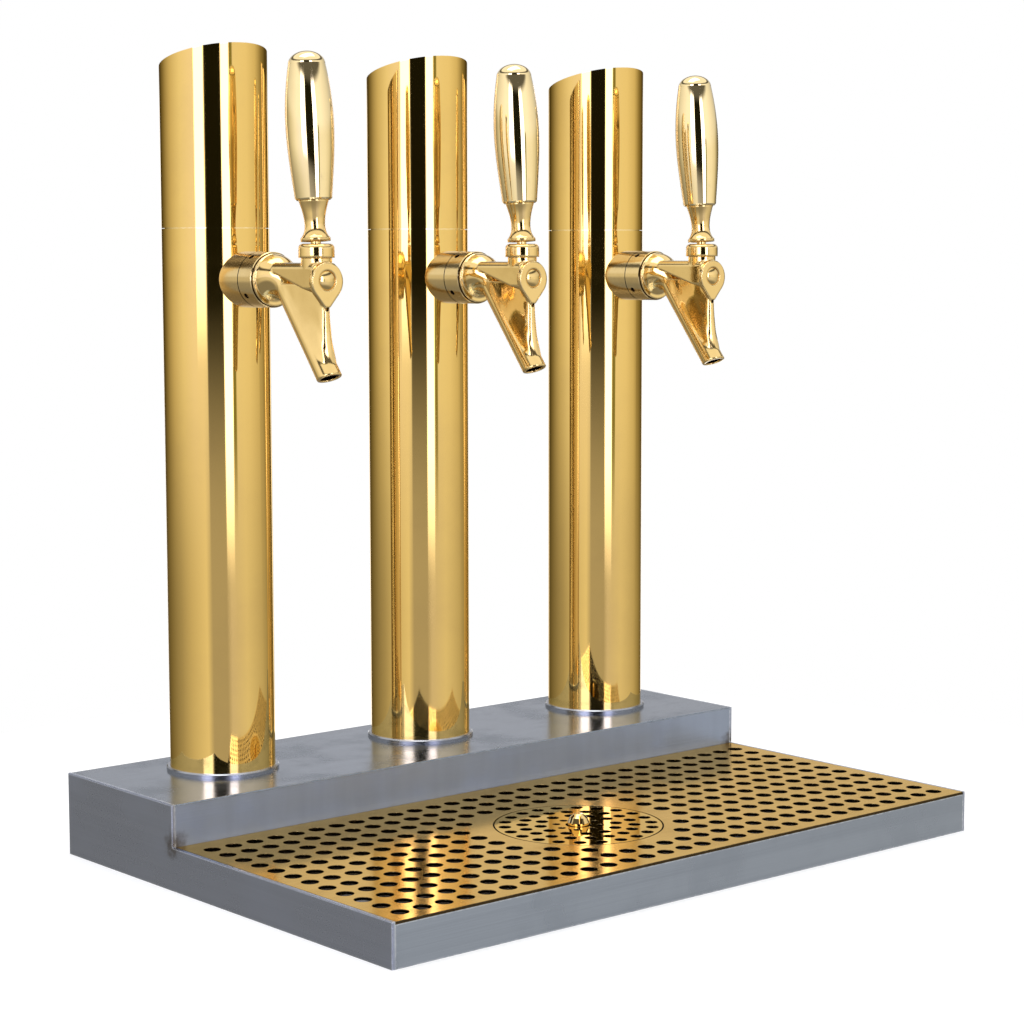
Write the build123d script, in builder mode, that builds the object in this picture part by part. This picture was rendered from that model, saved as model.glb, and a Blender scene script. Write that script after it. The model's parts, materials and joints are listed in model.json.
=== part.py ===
from build123d import *
import math
import os

# Beer tower dispenser: a stepped counter base with a drip tray and a glass rinser, and three
# round columns, each with one lever tap.
# Millimetres. The origin is the middle of the footprint at the underside, +Z is up, the taps
# face -Y and the long side of the base lies along X.

os.makedirs("parts", exist_ok=True)

# ---------------------------------------------------------------- base sizes
base_length = 544.0
base_depth = 380.0
riser_depth = 137.0
riser_height = 59.5
tray_height = 30.0
panel_thickness = 2.5
sheet = 2.0
edge_radius = 0.9
seat_gap = 0.3

plate_thickness = 2.5
bolt_end_margin = 37.0
bolt_side_margin = 22.5
bolt_bore_radius = 4.0
weld_nut_radius = 8.5
weld_nut_height = 6.5
nut_pilot_radius = 5.4
pilot_clearance = 0.2
line_port_depth = 62.0
line_port_margin = 30.0

basin_sheet = 1.2
basin_floor_height = 4.0
basin_draft = 8.0
basin_corner_radius = 12.0
ledge_width = 10.0
basin_side_gap = 3.0

grille_thickness = 2.0
grille_pitch_x = 17.5
grille_pitch_y = 18.75
grille_hole_margin = 15.4
grille_hole_radius = 5.2
hole_sides = 6
rinser_margin = 6.5

drain_end_margin = 67.0
drain_front_margin = 122.0
drain_bore_radius = 8.0
drain_wall = 2.0
drain_flange_radius = 16.0
drain_flange_thickness = 1.6
floor_recess = 0.4
tail_clearance = 0.3
access_clearance = 4.0

# ---------------------------------------------------------------- glass rinser sizes
rinser_x = -18.0
rinser_front_margin = 112.0
rinser_radius = 59.5
rinser_gap = 0.8
rinser_ring_radii = (52.4, 39.6, 27.2)
rinser_ring_counts = (22, 18, 12)
rinser_hole_radius = 4.3
rinser_inner_ring_radius = 15.6
rinser_inner_hole_count = 8
rinser_inner_hole_radius = 2.7
nozzle_radius = 7.7
nozzle_rise = 8.0
nozzle_slots = 6
nozzle_slot_width = 1.8
nozzle_travel = 4.0
nozzle_clearance = 1.3
stem_radius = 4.5
stem_clearance = 0.06
stem_foot_radius = 6.2
stem_foot_thickness = 1.5
valve_radius = 18.0
valve_flange_radius = 24.0
valve_flange_thickness = 3.0
valve_tail_radius = 9.0
valve_inlet_radius = 4.0
valve_guide_height = 2.5
valve_chamber_radius = 8.0
valve_chamber_floor = 1.4
spring_turns = 4
spring_wire = 1.1
spring_radius = 6.2
spring_end_gap = 0.1
nozzle_skirt_drop = 1.0
nozzle_side_share = 0.25
nozzle_shoulder_share = 0.7
nozzle_shoulder_width = 0.8
nozzle_crown_width = 0.4

# ---------------------------------------------------------------- column sizes
column_diameter = 76.2
column_wall = 2.0
column_pitch = 184.0
row_shift = 8.5
column_setback = 81.0
seam_height = 449.4
seam_gap = 0.5
cap_axis_height = 568.3
cap_slope = 14.0
spigot_length = 12.0
spigot_wall = 1.6
slip_clearance = 0.1
foot_ring_wall = 2.6
foot_ring_height = 3.0
foot_flange_thickness = 5.0
foot_flange_bore = 23.0
foot_screw_circle = 60.0
foot_screw_count = 3
foot_screw_radius = 2.4
screw_head_radius = 4.4
screw_head_height = 2.8
screw_clearance = 0.2

# ---------------------------------------------------------------- tap sizes
tap_axis_drop = 35.7
shank_radius = 11.0
shank_clearance = 0.15
shank_inner_end = 14.0
shank_bore_radius = 5.0
shank_head_length = 7.2
sleeve_radius = 19.5
sleeve_front = 55.0
coupling_radius = 19.3
coupling_wall = 1.95
coupling_front = 71.0
coupling_rear_web = 3.0
coupling_edge = 0.6
split_groove = 0.6
spanner_hole_radius = 2.1
spanner_hole_depth = 1.4
spanner_hole_count = 4
spanner_hole_turn = 35.0
locknut_flats = 32.0
locknut_length = 9.0
joint_clearance = 0.1

body_collar_radius = 18.2
body_collar_thickness = 1.8
head_front = 134.0
head_flange_thickness = 3.6
head_edge_radius = 0.8
head_radius = 12.8
head_drop = 0.6
head_tip_height = -15.0
arm_top = 11.8
arm_half_width = 10.6
arm_top_radius = 4.5
arm_taper_height = -5.3
arm_toe_height = -9.8
arm_heel_height = 5.4
elbow_rise = 1.6
elbow_root_radius = 16.2
elbow_steps = 4
spout_radius = 8.6
spout_bore_radius = 6.6
spout_root = 84.0
spout_angle = 37.9
spout_mouth_reach = 135.2
mouth_tilt = 22.0
rib_half_width = 3.5
rib_front = 133.2
rib_steps = 4
rib_end_share = 0.86
web_width_share = 0.98
rib_foot_share = 0.96
vent_radius = 1.2
vent_depth = 5.0
vent_drop = 19.3

lever_reach = 121.5
pivot_height = 15.3
lever_lean = 4.0
lever_pull = 26.0
ball_radius = 6.5
ball_clearance = 0.05
lever_neck_radius = 3.5
lever_stud_end = 56.0
stud_end_gap = 1.0
finger_radius = 2.5
finger_neck_radius = 1.8
neck_radius = 10.5
neck_top = 15.3
bonnet_thread_radius = 9.95
bonnet_thread_wall = 1.6
bonnet_top = 24.8
bonnet_radius = 12.25
washer_height = 2.5
washer_seat_height = 0.8
swing_clearance = 0.3
cup_front_share = 0.6
cup_rear_share = 0.86
washer_curve_share = 0.8
bonnet_round_share = 0.95

chamber_radius = 6.0
bar_radius = 4.2
bar_end_wall = 3.5
button_radius = 6.7
button_length = 3.5
button_dome = 1.9
button_inset = 0.6
plunger_clearance = 0.1
plunger_stem_radius = 2.8
slot_clearance = 0.4
seat_washer_radius = 8.2
seat_washer_thickness = 3.2
plunger_nut_radius = 4.2
plunger_nut_length = 1.8
valve_pocket_radius = 9.0
valve_pocket_margin = 2.0

ferrule_foot = 11.1
ferrule_top = 38.8
ferrule_foot_radius = 10.2
ferrule_bead = 2.0
ferrule_waist_radius = 7.05
ferrule_top_radius = 10.4
ferrule_recess = 2.3
ferrule_skirt = 0.8
ferrule_neck_height = 0.75
ferrule_waist_height = 0.48
ferrule_flare_height = 0.22
ferrule_neck_share = 0.376
ferrule_flare_share = 1.09
handle_length = 100.0
handle_bottom_radius = 12.6
handle_bottom_edge = 1.0
handle_belly_radius = 16.4
handle_shoulder_radius = 12.6
handle_dome_rise = 9.0
dome_fullness = 0.55
handle_lower_height = 0.19
handle_belly_height = 0.52
handle_upper_height = 0.79
thread_clearance = 0.05

line_radius = 4.75
line_wall = 1.0
line_bend_radius = 16.0
line_offset = 6.0
line_entry = 8.0
line_end_recess = 2.4

# ---------------------------------------------------------------- derived places
front_y = -base_depth / 2
rear_y = base_depth / 2
step_y = rear_y - riser_depth
column_y = step_y + column_setback
column_radius = column_diameter / 2
column_inner_radius = column_radius - column_wall
column_x = [row_shift - column_pitch, row_shift, row_shift + column_pitch]
column_names = ["left", "middle", "right"]
tap_z = seam_height - tap_axis_drop
inner_length = base_length - 2 * panel_thickness
bolt_spacing_x = base_length - 2 * bolt_end_margin
bolt_spacing_y = riser_depth - 2 * bolt_side_margin
drain_x = -base_length / 2 + drain_end_margin
drain_y = front_y + drain_front_margin
rinser_y = front_y + rinser_front_margin
grille_z = tray_height - grille_thickness
rim_z = grille_z - basin_sheet
stations = list(zip(column_names, column_x))


def write_piece(piece, label, place=None):
    """Label one finished piece and write it where it stands in the tower."""
    shape = piece.part if place is None else piece.part.moved(place)
    shape.label = label
    export_step(shape, f"parts/{label}.step")


# ---------------------------------------------------------------- end panels
def end_panel(side):
    """L-shaped end wall with softened outer edges; side is -1 for left and +1 for right."""
    with BuildPart() as panel:
        with BuildSketch(Plane.YZ.offset(side * base_length / 2)):
            with BuildLine():
                Polyline(
                    (front_y, 0),
                    (front_y, tray_height),
                    (step_y, tray_height),
                    (step_y, riser_height),
                    (rear_y, riser_height),
                    (rear_y, 0),
                    close=True,
                )
            make_face()
        extrude(amount=-side * panel_thickness)
        outer_face = panel.faces().sort_by(Axis.X)[-1 if side > 0 else 0]
        raised_edges = [edge for edge in outer_face.edges() if edge.center().Z > edge_radius]
        fillet(raised_edges, edge_radius)
    return panel


write_piece(end_panel(-1), "end_panel_left")
write_piece(end_panel(1), "end_panel_right")


# ---------------------------------------------------------------- column foot pattern
def foot_screw_places(height):
    """Screw positions under every column, at one height."""
    places = []
    for x in column_x:
        for index in range(foot_screw_count):
            angle = math.radians(90 + 360 * index / foot_screw_count)
            reach = foot_screw_circle / 2
            places.append((x + reach * math.cos(angle), column_y + reach * math.sin(angle), height))
    return places


# ---------------------------------------------------------------- riser cover
# One folded sheet: front wall, top and rear wall, with a ledge for the drip basin's rear rim.
with BuildPart() as riser_cover:
    with BuildSketch(Plane.YZ.offset(-inner_length / 2)):
        with Locations((step_y, plate_thickness)):
            Rectangle(sheet, riser_height - plate_thickness, align=(Align.MIN, Align.MIN))
        with Locations((step_y, riser_height)):
            Rectangle(riser_depth, sheet, align=(Align.MIN, Align.MAX))
        with Locations((rear_y, 0)):
            Rectangle(sheet, riser_height, align=(Align.MAX, Align.MIN))
        with Locations((step_y, rim_z)):
            Rectangle(ledge_width, sheet, align=(Align.MAX, Align.MAX))
    extrude(amount=inner_length)
    fold_edges = riser_cover.edges().filter_by(Axis.X).group_by(Axis.Z)[-1]
    fillet(fold_edges, edge_radius)
    for x in column_x:
        with Locations((x, column_y, riser_height)):
            Hole(foot_flange_bore, depth=2 * sheet)
    with Locations(*foot_screw_places(riser_height)):
        Hole(foot_screw_radius + screw_clearance, depth=2 * sheet)
write_piece(riser_cover, "riser_cover")

# ---------------------------------------------------------------- front panel
# Low front wall, one sheet lower than the end panels so that the grille laps over it.
with BuildPart() as front_panel:
    with BuildSketch(Plane.YZ.offset(-inner_length / 2)):
        with Locations((front_y, 0)):
            Rectangle(sheet, grille_z, align=(Align.MIN, Align.MIN))
        with Locations((front_y + sheet, rim_z)):
            Rectangle(ledge_width, sheet, align=(Align.MIN, Align.MAX))
    extrude(amount=inner_length)
write_piece(front_panel, "front_panel")

# ---------------------------------------------------------------- base plate
plate_front = front_y + sheet + seat_gap
plate_rear = rear_y - sheet - seat_gap
plate_length = inner_length - 2 * seat_gap
bolt_y = (step_y + rear_y) / 2
line_port_length = 2 * column_pitch + line_port_margin * 2
with BuildPart() as base_plate:
    with BuildSketch(Plane.XY):
        with Locations((0, (plate_front + plate_rear) / 2)):
            Rectangle(plate_length, plate_rear - plate_front)
        with Locations((row_shift, column_y)):
            RectangleRounded(line_port_length, line_port_depth, line_port_depth / 4, mode=Mode.SUBTRACT)
        with Locations((drain_x, drain_y)):
            Circle(drain_bore_radius + drain_wall + access_clearance, mode=Mode.SUBTRACT)
        with Locations((rinser_x, rinser_y)):
            Circle(valve_tail_radius + access_clearance, mode=Mode.SUBTRACT)
        with Locations((0, bolt_y)):
            with GridLocations(bolt_spacing_x, bolt_spacing_y, 2, 2):
                Circle(nut_pilot_radius + pilot_clearance, mode=Mode.SUBTRACT)
    extrude(amount=plate_thickness)
write_piece(base_plate, "base_plate")

# ---------------------------------------------------------------- weld nuts
# Pilot nuts for the bolts that come up through the counter.
with BuildPart() as weld_nuts:
    with BuildSketch(Plane.XY.offset(plate_thickness)):
        with Locations((0, bolt_y)):
            with GridLocations(bolt_spacing_x, bolt_spacing_y, 2, 2):
                RegularPolygon(weld_nut_radius, 6)
                Circle(bolt_bore_radius, mode=Mode.SUBTRACT)
    extrude(amount=weld_nut_height)
    with BuildSketch(Plane.XY.offset(floor_recess)):
        with Locations((0, bolt_y)):
            with GridLocations(bolt_spacing_x, bolt_spacing_y, 2, 2):
                Circle(nut_pilot_radius)
                Circle(bolt_bore_radius, mode=Mode.SUBTRACT)
    extrude(amount=plate_thickness - floor_recess)
write_piece(weld_nuts, "weld_nuts")

# ---------------------------------------------------------------- drip basin
# Drawn pan with sloping walls; its rim hangs on the front and rear ledges.
rim_front = front_y + sheet + seat_gap
rim_rear = step_y - seat_gap
rim_length = inner_length - 2 * seat_gap
rim_mid_y = (rim_front + rim_rear) / 2
pan_length = rim_length - 2 * basin_side_gap
pan_front = front_y + sheet + ledge_width + seat_gap
pan_rear = step_y - ledge_width - seat_gap
pan_depth = pan_rear - pan_front
pan_mid_y = (pan_front + pan_rear) / 2
with BuildPart() as drip_basin:
    with BuildSketch(Plane.XY.offset(rim_z)):
        with Locations((0, rim_mid_y)):
            Rectangle(rim_length, rim_rear - rim_front)
    extrude(amount=basin_sheet)
    with BuildSketch(Plane.XY.offset(rim_z)):
        with Locations((0, pan_mid_y)):
            RectangleRounded(pan_length, pan_depth, basin_corner_radius)
    with BuildSketch(Plane.XY.offset(basin_floor_height)):
        with Locations((0, pan_mid_y)):
            RectangleRounded(pan_length - 2 * basin_draft, pan_depth - 2 * basin_draft, basin_corner_radius)
    loft()
    inner_length_cut = pan_length - 2 * basin_sheet
    inner_depth_cut = pan_depth - 2 * basin_sheet
    inner_corner = basin_corner_radius - basin_sheet
    floor_length = inner_length_cut - 2 * basin_draft
    floor_depth = inner_depth_cut - 2 * basin_draft
    with BuildSketch(Plane.XY.offset(rim_z + basin_sheet)):
        with Locations((0, pan_mid_y)):
            RectangleRounded(inner_length_cut, inner_depth_cut, inner_corner)
    with BuildSketch(Plane.XY.offset(basin_floor_height + basin_sheet)):
        with Locations((0, pan_mid_y)):
            RectangleRounded(floor_length, floor_depth, inner_corner)
    loft(mode=Mode.SUBTRACT)
    with BuildSketch(Plane.XY.offset(basin_floor_height)):
        with Locations((drain_x, drain_y)):
            Circle(drain_bore_radius + drain_wall + tail_clearance)
        with Locations((rinser_x, rinser_y)):
            Circle(valve_tail_radius + tail_clearance)
    extrude(amount=basin_sheet, mode=Mode.SUBTRACT)
write_piece(drip_basin, "drip_basin")

# ---------------------------------------------------------------- drain fitting
basin_inside_z = basin_floor_height + basin_sheet
with BuildPart() as drain_fitting:
    with BuildSketch(Plane.XY.offset(floor_recess)):
        with Locations((drain_x, drain_y)):
            Circle(drain_bore_radius + drain_wall)
    extrude(amount=basin_inside_z - floor_recess)
    with BuildSketch(Plane.XY.offset(basin_inside_z)):
        with Locations((drain_x, drain_y)):
            Circle(drain_flange_radius)
    extrude(amount=drain_flange_thickness)
    with Locations((drain_x, drain_y, basin_inside_z + drain_flange_thickness)):
        Hole(drain_bore_radius)
write_piece(drain_fitting, "drain_fitting")

# ---------------------------------------------------------------- drip grille
# Perforated sheet with a plain ring round the rinser opening.
opening_radius = rinser_radius + rinser_gap
clear_radius = opening_radius + rinser_margin + grille_hole_radius
grille_length = inner_length - 2 * seat_gap
grille_rear = step_y - seat_gap
grille_depth = grille_rear - front_y
grille_columns = int((grille_length - 2 * grille_hole_margin) / grille_pitch_x) + 1
grille_rows = int((grille_depth - 2 * grille_hole_margin) / grille_pitch_y) + 1
grille_holes = []
for row in range(grille_rows):
    for column in range(grille_columns):
        hole_x = (column - (grille_columns - 1) / 2) * grille_pitch_x
        hole_y = front_y + grille_hole_margin + row * grille_pitch_y
        if math.hypot(hole_x - rinser_x, hole_y - rinser_y) > clear_radius:
            grille_holes.append((hole_x, hole_y))
with BuildPart() as drip_grille:
    with BuildSketch(Plane.XY.offset(grille_z)):
        with Locations((0, (front_y + grille_rear) / 2)):
            Rectangle(grille_length, grille_depth)
        with Locations((rinser_x, rinser_y)):
            Circle(opening_radius, mode=Mode.SUBTRACT)
        with Locations(*grille_holes):
            RegularPolygon(grille_hole_radius, hole_sides, major_radius=False, mode=Mode.SUBTRACT)
    extrude(amount=grille_thickness)
write_piece(drip_grille, "drip_grille")

# ---------------------------------------------------------------- glass rinser
nozzle_hole_radius = nozzle_radius + nozzle_clearance
with BuildPart() as rinser_disc:
    with BuildSketch(Plane.XY.offset(grille_z)):
        with Locations((rinser_x, rinser_y)):
            Circle(rinser_radius)
            Circle(nozzle_hole_radius, mode=Mode.SUBTRACT)
            for ring_radius, ring_count in zip(rinser_ring_radii, rinser_ring_counts):
                with PolarLocations(ring_radius, ring_count):
                    RegularPolygon(rinser_hole_radius, hole_sides, major_radius=False, mode=Mode.SUBTRACT)
            with PolarLocations(rinser_inner_ring_radius, rinser_inner_hole_count):
                RegularPolygon(rinser_inner_hole_radius, hole_sides, major_radius=False, mode=Mode.SUBTRACT)
    extrude(amount=grille_thickness)
write_piece(rinser_disc, "rinser_disc")

# The valve body stands on the basin floor, carries the disc and guides the nozzle's stem.
chamber_floor_z = basin_inside_z + valve_chamber_floor
chamber_top_z = chamber_floor_z + nozzle_travel + stem_foot_thickness + 2 * spring_end_gap
guide_top_z = chamber_top_z + valve_guide_height
inner_ring_edge = rinser_inner_ring_radius - rinser_inner_hole_radius
with BuildPart() as rinser_valve:
    with BuildSketch(Plane.XY.offset(floor_recess)):
        with Locations((rinser_x, rinser_y)):
            Circle(valve_tail_radius)
    extrude(amount=basin_inside_z - floor_recess)
    with BuildSketch(Plane.XY.offset(basin_inside_z)):
        with Locations((rinser_x, rinser_y)):
            Circle(valve_flange_radius)
    extrude(amount=valve_flange_thickness)
    with BuildSketch(Plane.XY.offset(basin_inside_z)):
        with Locations((rinser_x, rinser_y)):
            Circle(inner_ring_edge)
    extrude(amount=grille_z - basin_inside_z)
    with Locations((rinser_x, rinser_y, grille_z)):
        Hole(nozzle_hole_radius, depth=grille_z - guide_top_z)
        Hole(stem_radius + stem_clearance, depth=grille_z - chamber_top_z)
    with BuildSketch(Plane.XY.offset(chamber_floor_z)):
        with Locations((rinser_x, rinser_y)):
            Circle(valve_chamber_radius)
    extrude(amount=chamber_top_z - chamber_floor_z, mode=Mode.SUBTRACT)
    with BuildSketch(Plane.XY.offset(floor_recess)):
        with Locations((rinser_x, rinser_y)):
            Circle(valve_inlet_radius)
    extrude(amount=chamber_floor_z - floor_recess, mode=Mode.SUBTRACT)
write_piece(rinser_valve, "rinser_valve")

# Pressing the star-shaped dome with a glass pushes the stem's foot off its seat.
dome_base_z = grille_z - nozzle_skirt_drop
dome_side_z = tray_height + nozzle_rise * nozzle_side_share
dome_shoulder_z = tray_height + nozzle_rise * nozzle_shoulder_share
nozzle_top_z = tray_height + nozzle_rise
with BuildPart() as rinser_nozzle:
    with BuildSketch(Plane.XZ.offset(-rinser_y)):
        with BuildLine():
            Polyline(
                (rinser_x, chamber_top_z - spring_end_gap),
                (rinser_x + stem_radius, chamber_top_z - spring_end_gap),
                (rinser_x + stem_radius, dome_base_z),
                (rinser_x + nozzle_radius, dome_base_z),
                (rinser_x + nozzle_radius, dome_side_z),
                (rinser_x + nozzle_radius * nozzle_shoulder_width, dome_shoulder_z),
                (rinser_x + nozzle_radius * nozzle_crown_width, nozzle_top_z),
                (rinser_x, nozzle_top_z),
                close=True,
            )
        make_face()
    revolve(axis=Axis((rinser_x, rinser_y, 0), (0, 0, 1)))
    with BuildSketch(Plane.XY.offset(chamber_top_z - spring_end_gap)):
        with Locations((rinser_x, rinser_y)):
            Circle(stem_foot_radius)
    extrude(amount=-stem_foot_thickness)
    with BuildSketch(Plane.XY.offset(dome_side_z)):
        with Locations((rinser_x, rinser_y)):
            with PolarLocations(nozzle_radius, nozzle_slots):
                Rectangle(nozzle_radius, nozzle_slot_width)
    extrude(amount=nozzle_rise, mode=Mode.SUBTRACT)
write_piece(rinser_nozzle, "rinser_nozzle")

spring_bottom = guide_top_z + spring_end_gap + spring_wire / 2
spring_height = dome_base_z - spring_end_gap - spring_wire / 2 - spring_bottom
with BuildPart() as rinser_spring:
    with BuildLine():
        coil = Helix(
            pitch=spring_height / spring_turns,
            height=spring_height,
            radius=spring_radius,
            center=(rinser_x, rinser_y, spring_bottom),
        )
    with BuildSketch(Plane(origin=coil @ 0, x_dir=(1, 0, 0), z_dir=coil % 0)):
        Rectangle(spring_wire, spring_wire)
    sweep(path=coil, is_frenet=True)
write_piece(rinser_spring, "rinser_spring")

# ---------------------------------------------------------------- columns
# Column pieces are made on the Z axis and moved to their station.
with BuildPart() as column_tube:
    with BuildSketch(Plane.XY.offset(riser_height)):
        Circle(column_radius)
        Circle(column_inner_radius, mode=Mode.SUBTRACT)
    extrude(amount=seam_height - riser_height)
    with BuildSketch(Plane.XZ):
        with Locations((0, tap_z)):
            Circle(shank_radius + shank_clearance)
    extrude(amount=column_diameter, mode=Mode.SUBTRACT)

with BuildPart() as foot_ring:
    with BuildSketch(Plane.XY.offset(riser_height)):
        Circle(column_radius + slip_clearance + foot_ring_wall)
        Circle(column_radius + slip_clearance, mode=Mode.SUBTRACT)
    extrude(amount=foot_ring_height)
    chamfer(foot_ring.faces().sort_by(Axis.Z)[-1].outer_wire().edges(), foot_ring_wall / 3)

# Sloping cap: closed at the top, with a spigot that drops into the column tube.
cap_base = seam_height + seam_gap
slope_tan = math.tan(math.radians(cap_slope))
slope_reach = column_radius * slope_tan
cap_normal = (0, math.sin(math.radians(cap_slope)), math.cos(math.radians(cap_slope)))
with BuildPart() as column_cap:
    with BuildSketch(Plane.XY.offset(cap_base)):
        Circle(column_radius)
    extrude(amount=cap_axis_height + slope_reach * 2 - cap_base)
    split(bisect_by=Plane(origin=(0, 0, cap_axis_height), z_dir=cap_normal), keep=Keep.BOTTOM)
    offset(amount=-column_wall, openings=column_cap.faces().sort_by(Axis.Z)[0])
    with BuildSketch(Plane.XY.offset(cap_base)):
        Circle(column_inner_radius + column_wall / 2)
        Circle(column_inner_radius - slip_clearance - spigot_wall, mode=Mode.SUBTRACT)
    extrude(amount=spigot_wall)
    with BuildSketch(Plane.XY.offset(cap_base - spigot_length)):
        Circle(column_inner_radius - slip_clearance)
        Circle(column_inner_radius - slip_clearance - spigot_wall, mode=Mode.SUBTRACT)
    extrude(amount=spigot_length)

for name, x in stations:
    station = Location((x, column_y, 0))
    write_piece(column_tube, f"column_tube_{name}", station)
    write_piece(foot_ring, f"foot_ring_{name}", station)
    write_piece(column_cap, f"column_cap_{name}", station)

# Flanges inside the column feet, and the screws that hold them down from inside the riser.
with BuildPart() as foot_flanges:
    with BuildSketch(Plane.XY.offset(riser_height)):
        with Locations(*[(x, column_y) for x in column_x]):
            Circle(column_inner_radius - slip_clearance)
            Circle(foot_flange_bore, mode=Mode.SUBTRACT)
        with Locations(*[(place[0], place[1]) for place in foot_screw_places(0)]):
            Circle(foot_screw_radius + screw_clearance / 2, mode=Mode.SUBTRACT)
    extrude(amount=foot_flange_thickness)
write_piece(foot_flanges, "foot_flanges")

screw_seat_z = riser_height - sheet
with BuildPart() as foot_screws:
    with Locations(*foot_screw_places(screw_seat_z)):
        Cylinder(screw_head_radius, screw_head_height, align=(Align.CENTER, Align.CENTER, Align.MAX))
        Cylinder(
            foot_screw_radius,
            sheet + foot_flange_thickness,
            align=(Align.CENTER, Align.CENTER, Align.MIN),
        )
write_piece(foot_screws, "foot_screws")

# ---------------------------------------------------------------- tap: wall fittings
# Tap pieces are made round the tap's own axis, which points to -Y from the column's centre.
coupling_rear = sleeve_front + split_groove
coupling_bore_radius = coupling_radius - coupling_wall
shank_head_radius = coupling_bore_radius - joint_clearance
shank_head_rear = coupling_rear + coupling_rear_web + joint_clearance
shank_head_front = shank_head_rear + shank_head_length
body_rear = shank_head_front + joint_clearance
collar_rear = coupling_front + joint_clearance
lever_stroke = pivot_height * (math.sin(math.radians(lever_pull)) + math.sin(math.radians(lever_lean)))
pocket_depth = seat_washer_thickness + plunger_nut_length + lever_stroke + valve_pocket_margin

with BuildPart() as wall_sleeve:
    with BuildSketch(Plane.XZ):
        Circle(sleeve_radius)
        Circle(shank_radius + shank_clearance, mode=Mode.SUBTRACT)
    extrude(amount=sleeve_front)
    Cylinder(column_radius + thread_clearance, 4 * sleeve_radius, mode=Mode.SUBTRACT)

# The shank's head carries the coupling nut and takes the valve washer's travel.
with BuildPart() as shank:
    with BuildSketch(Plane.XZ.offset(shank_inner_end)):
        Circle(shank_radius)
    extrude(amount=shank_head_rear - shank_inner_end)
    with BuildSketch(Plane.XZ.offset(shank_head_rear)):
        Circle(shank_head_radius)
    extrude(amount=shank_head_length)
    with BuildSketch(Plane.XZ.offset(shank_head_front - pocket_depth)):
        Circle(valve_pocket_radius)
    extrude(amount=pocket_depth, mode=Mode.SUBTRACT)
    with BuildSketch(Plane.XZ.offset(shank_inner_end)):
        Circle(shank_bore_radius)
    extrude(amount=shank_head_front - shank_inner_end, mode=Mode.SUBTRACT)

# The coupling nut hooks behind the shank's head and pulls the tap body against it.
with BuildPart() as coupling_nut:
    with BuildSketch(Plane.XZ.offset(coupling_rear)):
        Circle(coupling_radius)
        Circle(shank_radius + shank_clearance, mode=Mode.SUBTRACT)
    extrude(amount=coupling_rear_web)
    with BuildSketch(Plane.XZ.offset(coupling_rear + coupling_rear_web)):
        Circle(coupling_radius)
        Circle(coupling_bore_radius, mode=Mode.SUBTRACT)
    extrude(amount=coupling_front - coupling_rear - coupling_rear_web)
    chamfer(coupling_nut.faces().sort_by(Axis.Y)[0].outer_wire().edges(), coupling_edge)
    hole_centre = coupling_rear + coupling_rear_web + spanner_hole_radius
    floor_radius = coupling_radius - spanner_hole_depth
    for index in range(spanner_hole_count):
        turn = math.radians(spanner_hole_turn + 360 * index / spanner_hole_count)
        outward = (-math.sin(turn), 0, math.cos(turn))
        floor_point = (outward[0] * floor_radius, -hole_centre, outward[2] * floor_radius)
        with BuildSketch(Plane(origin=floor_point, x_dir=(0, 1, 0), z_dir=outward)):
            Circle(spanner_hole_radius)
        extrude(amount=2 * spanner_hole_depth, mode=Mode.SUBTRACT)

for name, x in stations:
    tap_place = Location((x, column_y, tap_z))
    write_piece(wall_sleeve, f"wall_sleeve_{name}", tap_place)
    write_piece(shank, f"shank_{name}", tap_place)
    write_piece(coupling_nut, f"coupling_nut_{name}", tap_place)

# Locknuts inside the columns; their saddle faces follow the tube's inner wall.
locknut_rear = column_inner_radius - locknut_length
with BuildPart() as shank_locknuts:
    for x in column_x:
        nut_plane = Plane(origin=(x, column_y - locknut_rear, tap_z), x_dir=(1, 0, 0), z_dir=(0, -1, 0))
        with BuildSketch(nut_plane):
            RegularPolygon(locknut_flats / 2, 6, major_radius=False)
            Circle(shank_radius + thread_clearance, mode=Mode.SUBTRACT)
        extrude(amount=locknut_length)
    for x in column_x:
        with BuildSketch(Plane.XY.offset(tap_z - locknut_flats)):
            with Locations((x, column_y)):
                Circle(column_radius + locknut_length)
                Circle(column_inner_radius - thread_clearance, mode=Mode.SUBTRACT)
        extrude(amount=2 * locknut_flats, mode=Mode.SUBTRACT)
write_piece(shank_locknuts, "shank_locknuts")

# ---------------------------------------------------------------- tap: body
spout_down = math.radians(spout_angle)
spout_slope = math.tan(spout_down)
spout_direction = (0, -math.sin(spout_down), -math.cos(spout_down))
mouth_drop = (spout_mouth_reach - spout_root) / spout_slope
mouth_centre = (0, -spout_mouth_reach, -mouth_drop)
mouth_normal = (0, -math.sin(math.radians(mouth_tilt)), -math.cos(math.radians(mouth_tilt)))
spout_length = mouth_drop / math.cos(spout_down)
head_rear = head_front - head_flange_thickness
elbow_start = collar_rear + body_collar_thickness
elbow_turn = math.pi / 2 - spout_down
elbow_bend = (spout_root - elbow_rise * spout_slope - elbow_start) / math.tan(elbow_turn / 2)
slot_half = finger_radius + slot_clearance
finger_rest_y = -lever_reach - pivot_height * math.sin(math.radians(lever_lean))
finger_open_y = finger_rest_y + lever_stroke
button_front = head_front - button_inset
button_rear = button_front - button_length
bar_rear = -finger_rest_y - slot_half - bar_end_wall
bar_bore_rear = bar_rear - lever_stroke - slot_clearance
button_bore_rear = button_rear - lever_stroke - slot_clearance
bar_bore_radius = bar_radius + plunger_clearance


def spout_y(height):
    """Y of the spout's axis at a height."""
    return -spout_root + height * spout_slope


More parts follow.
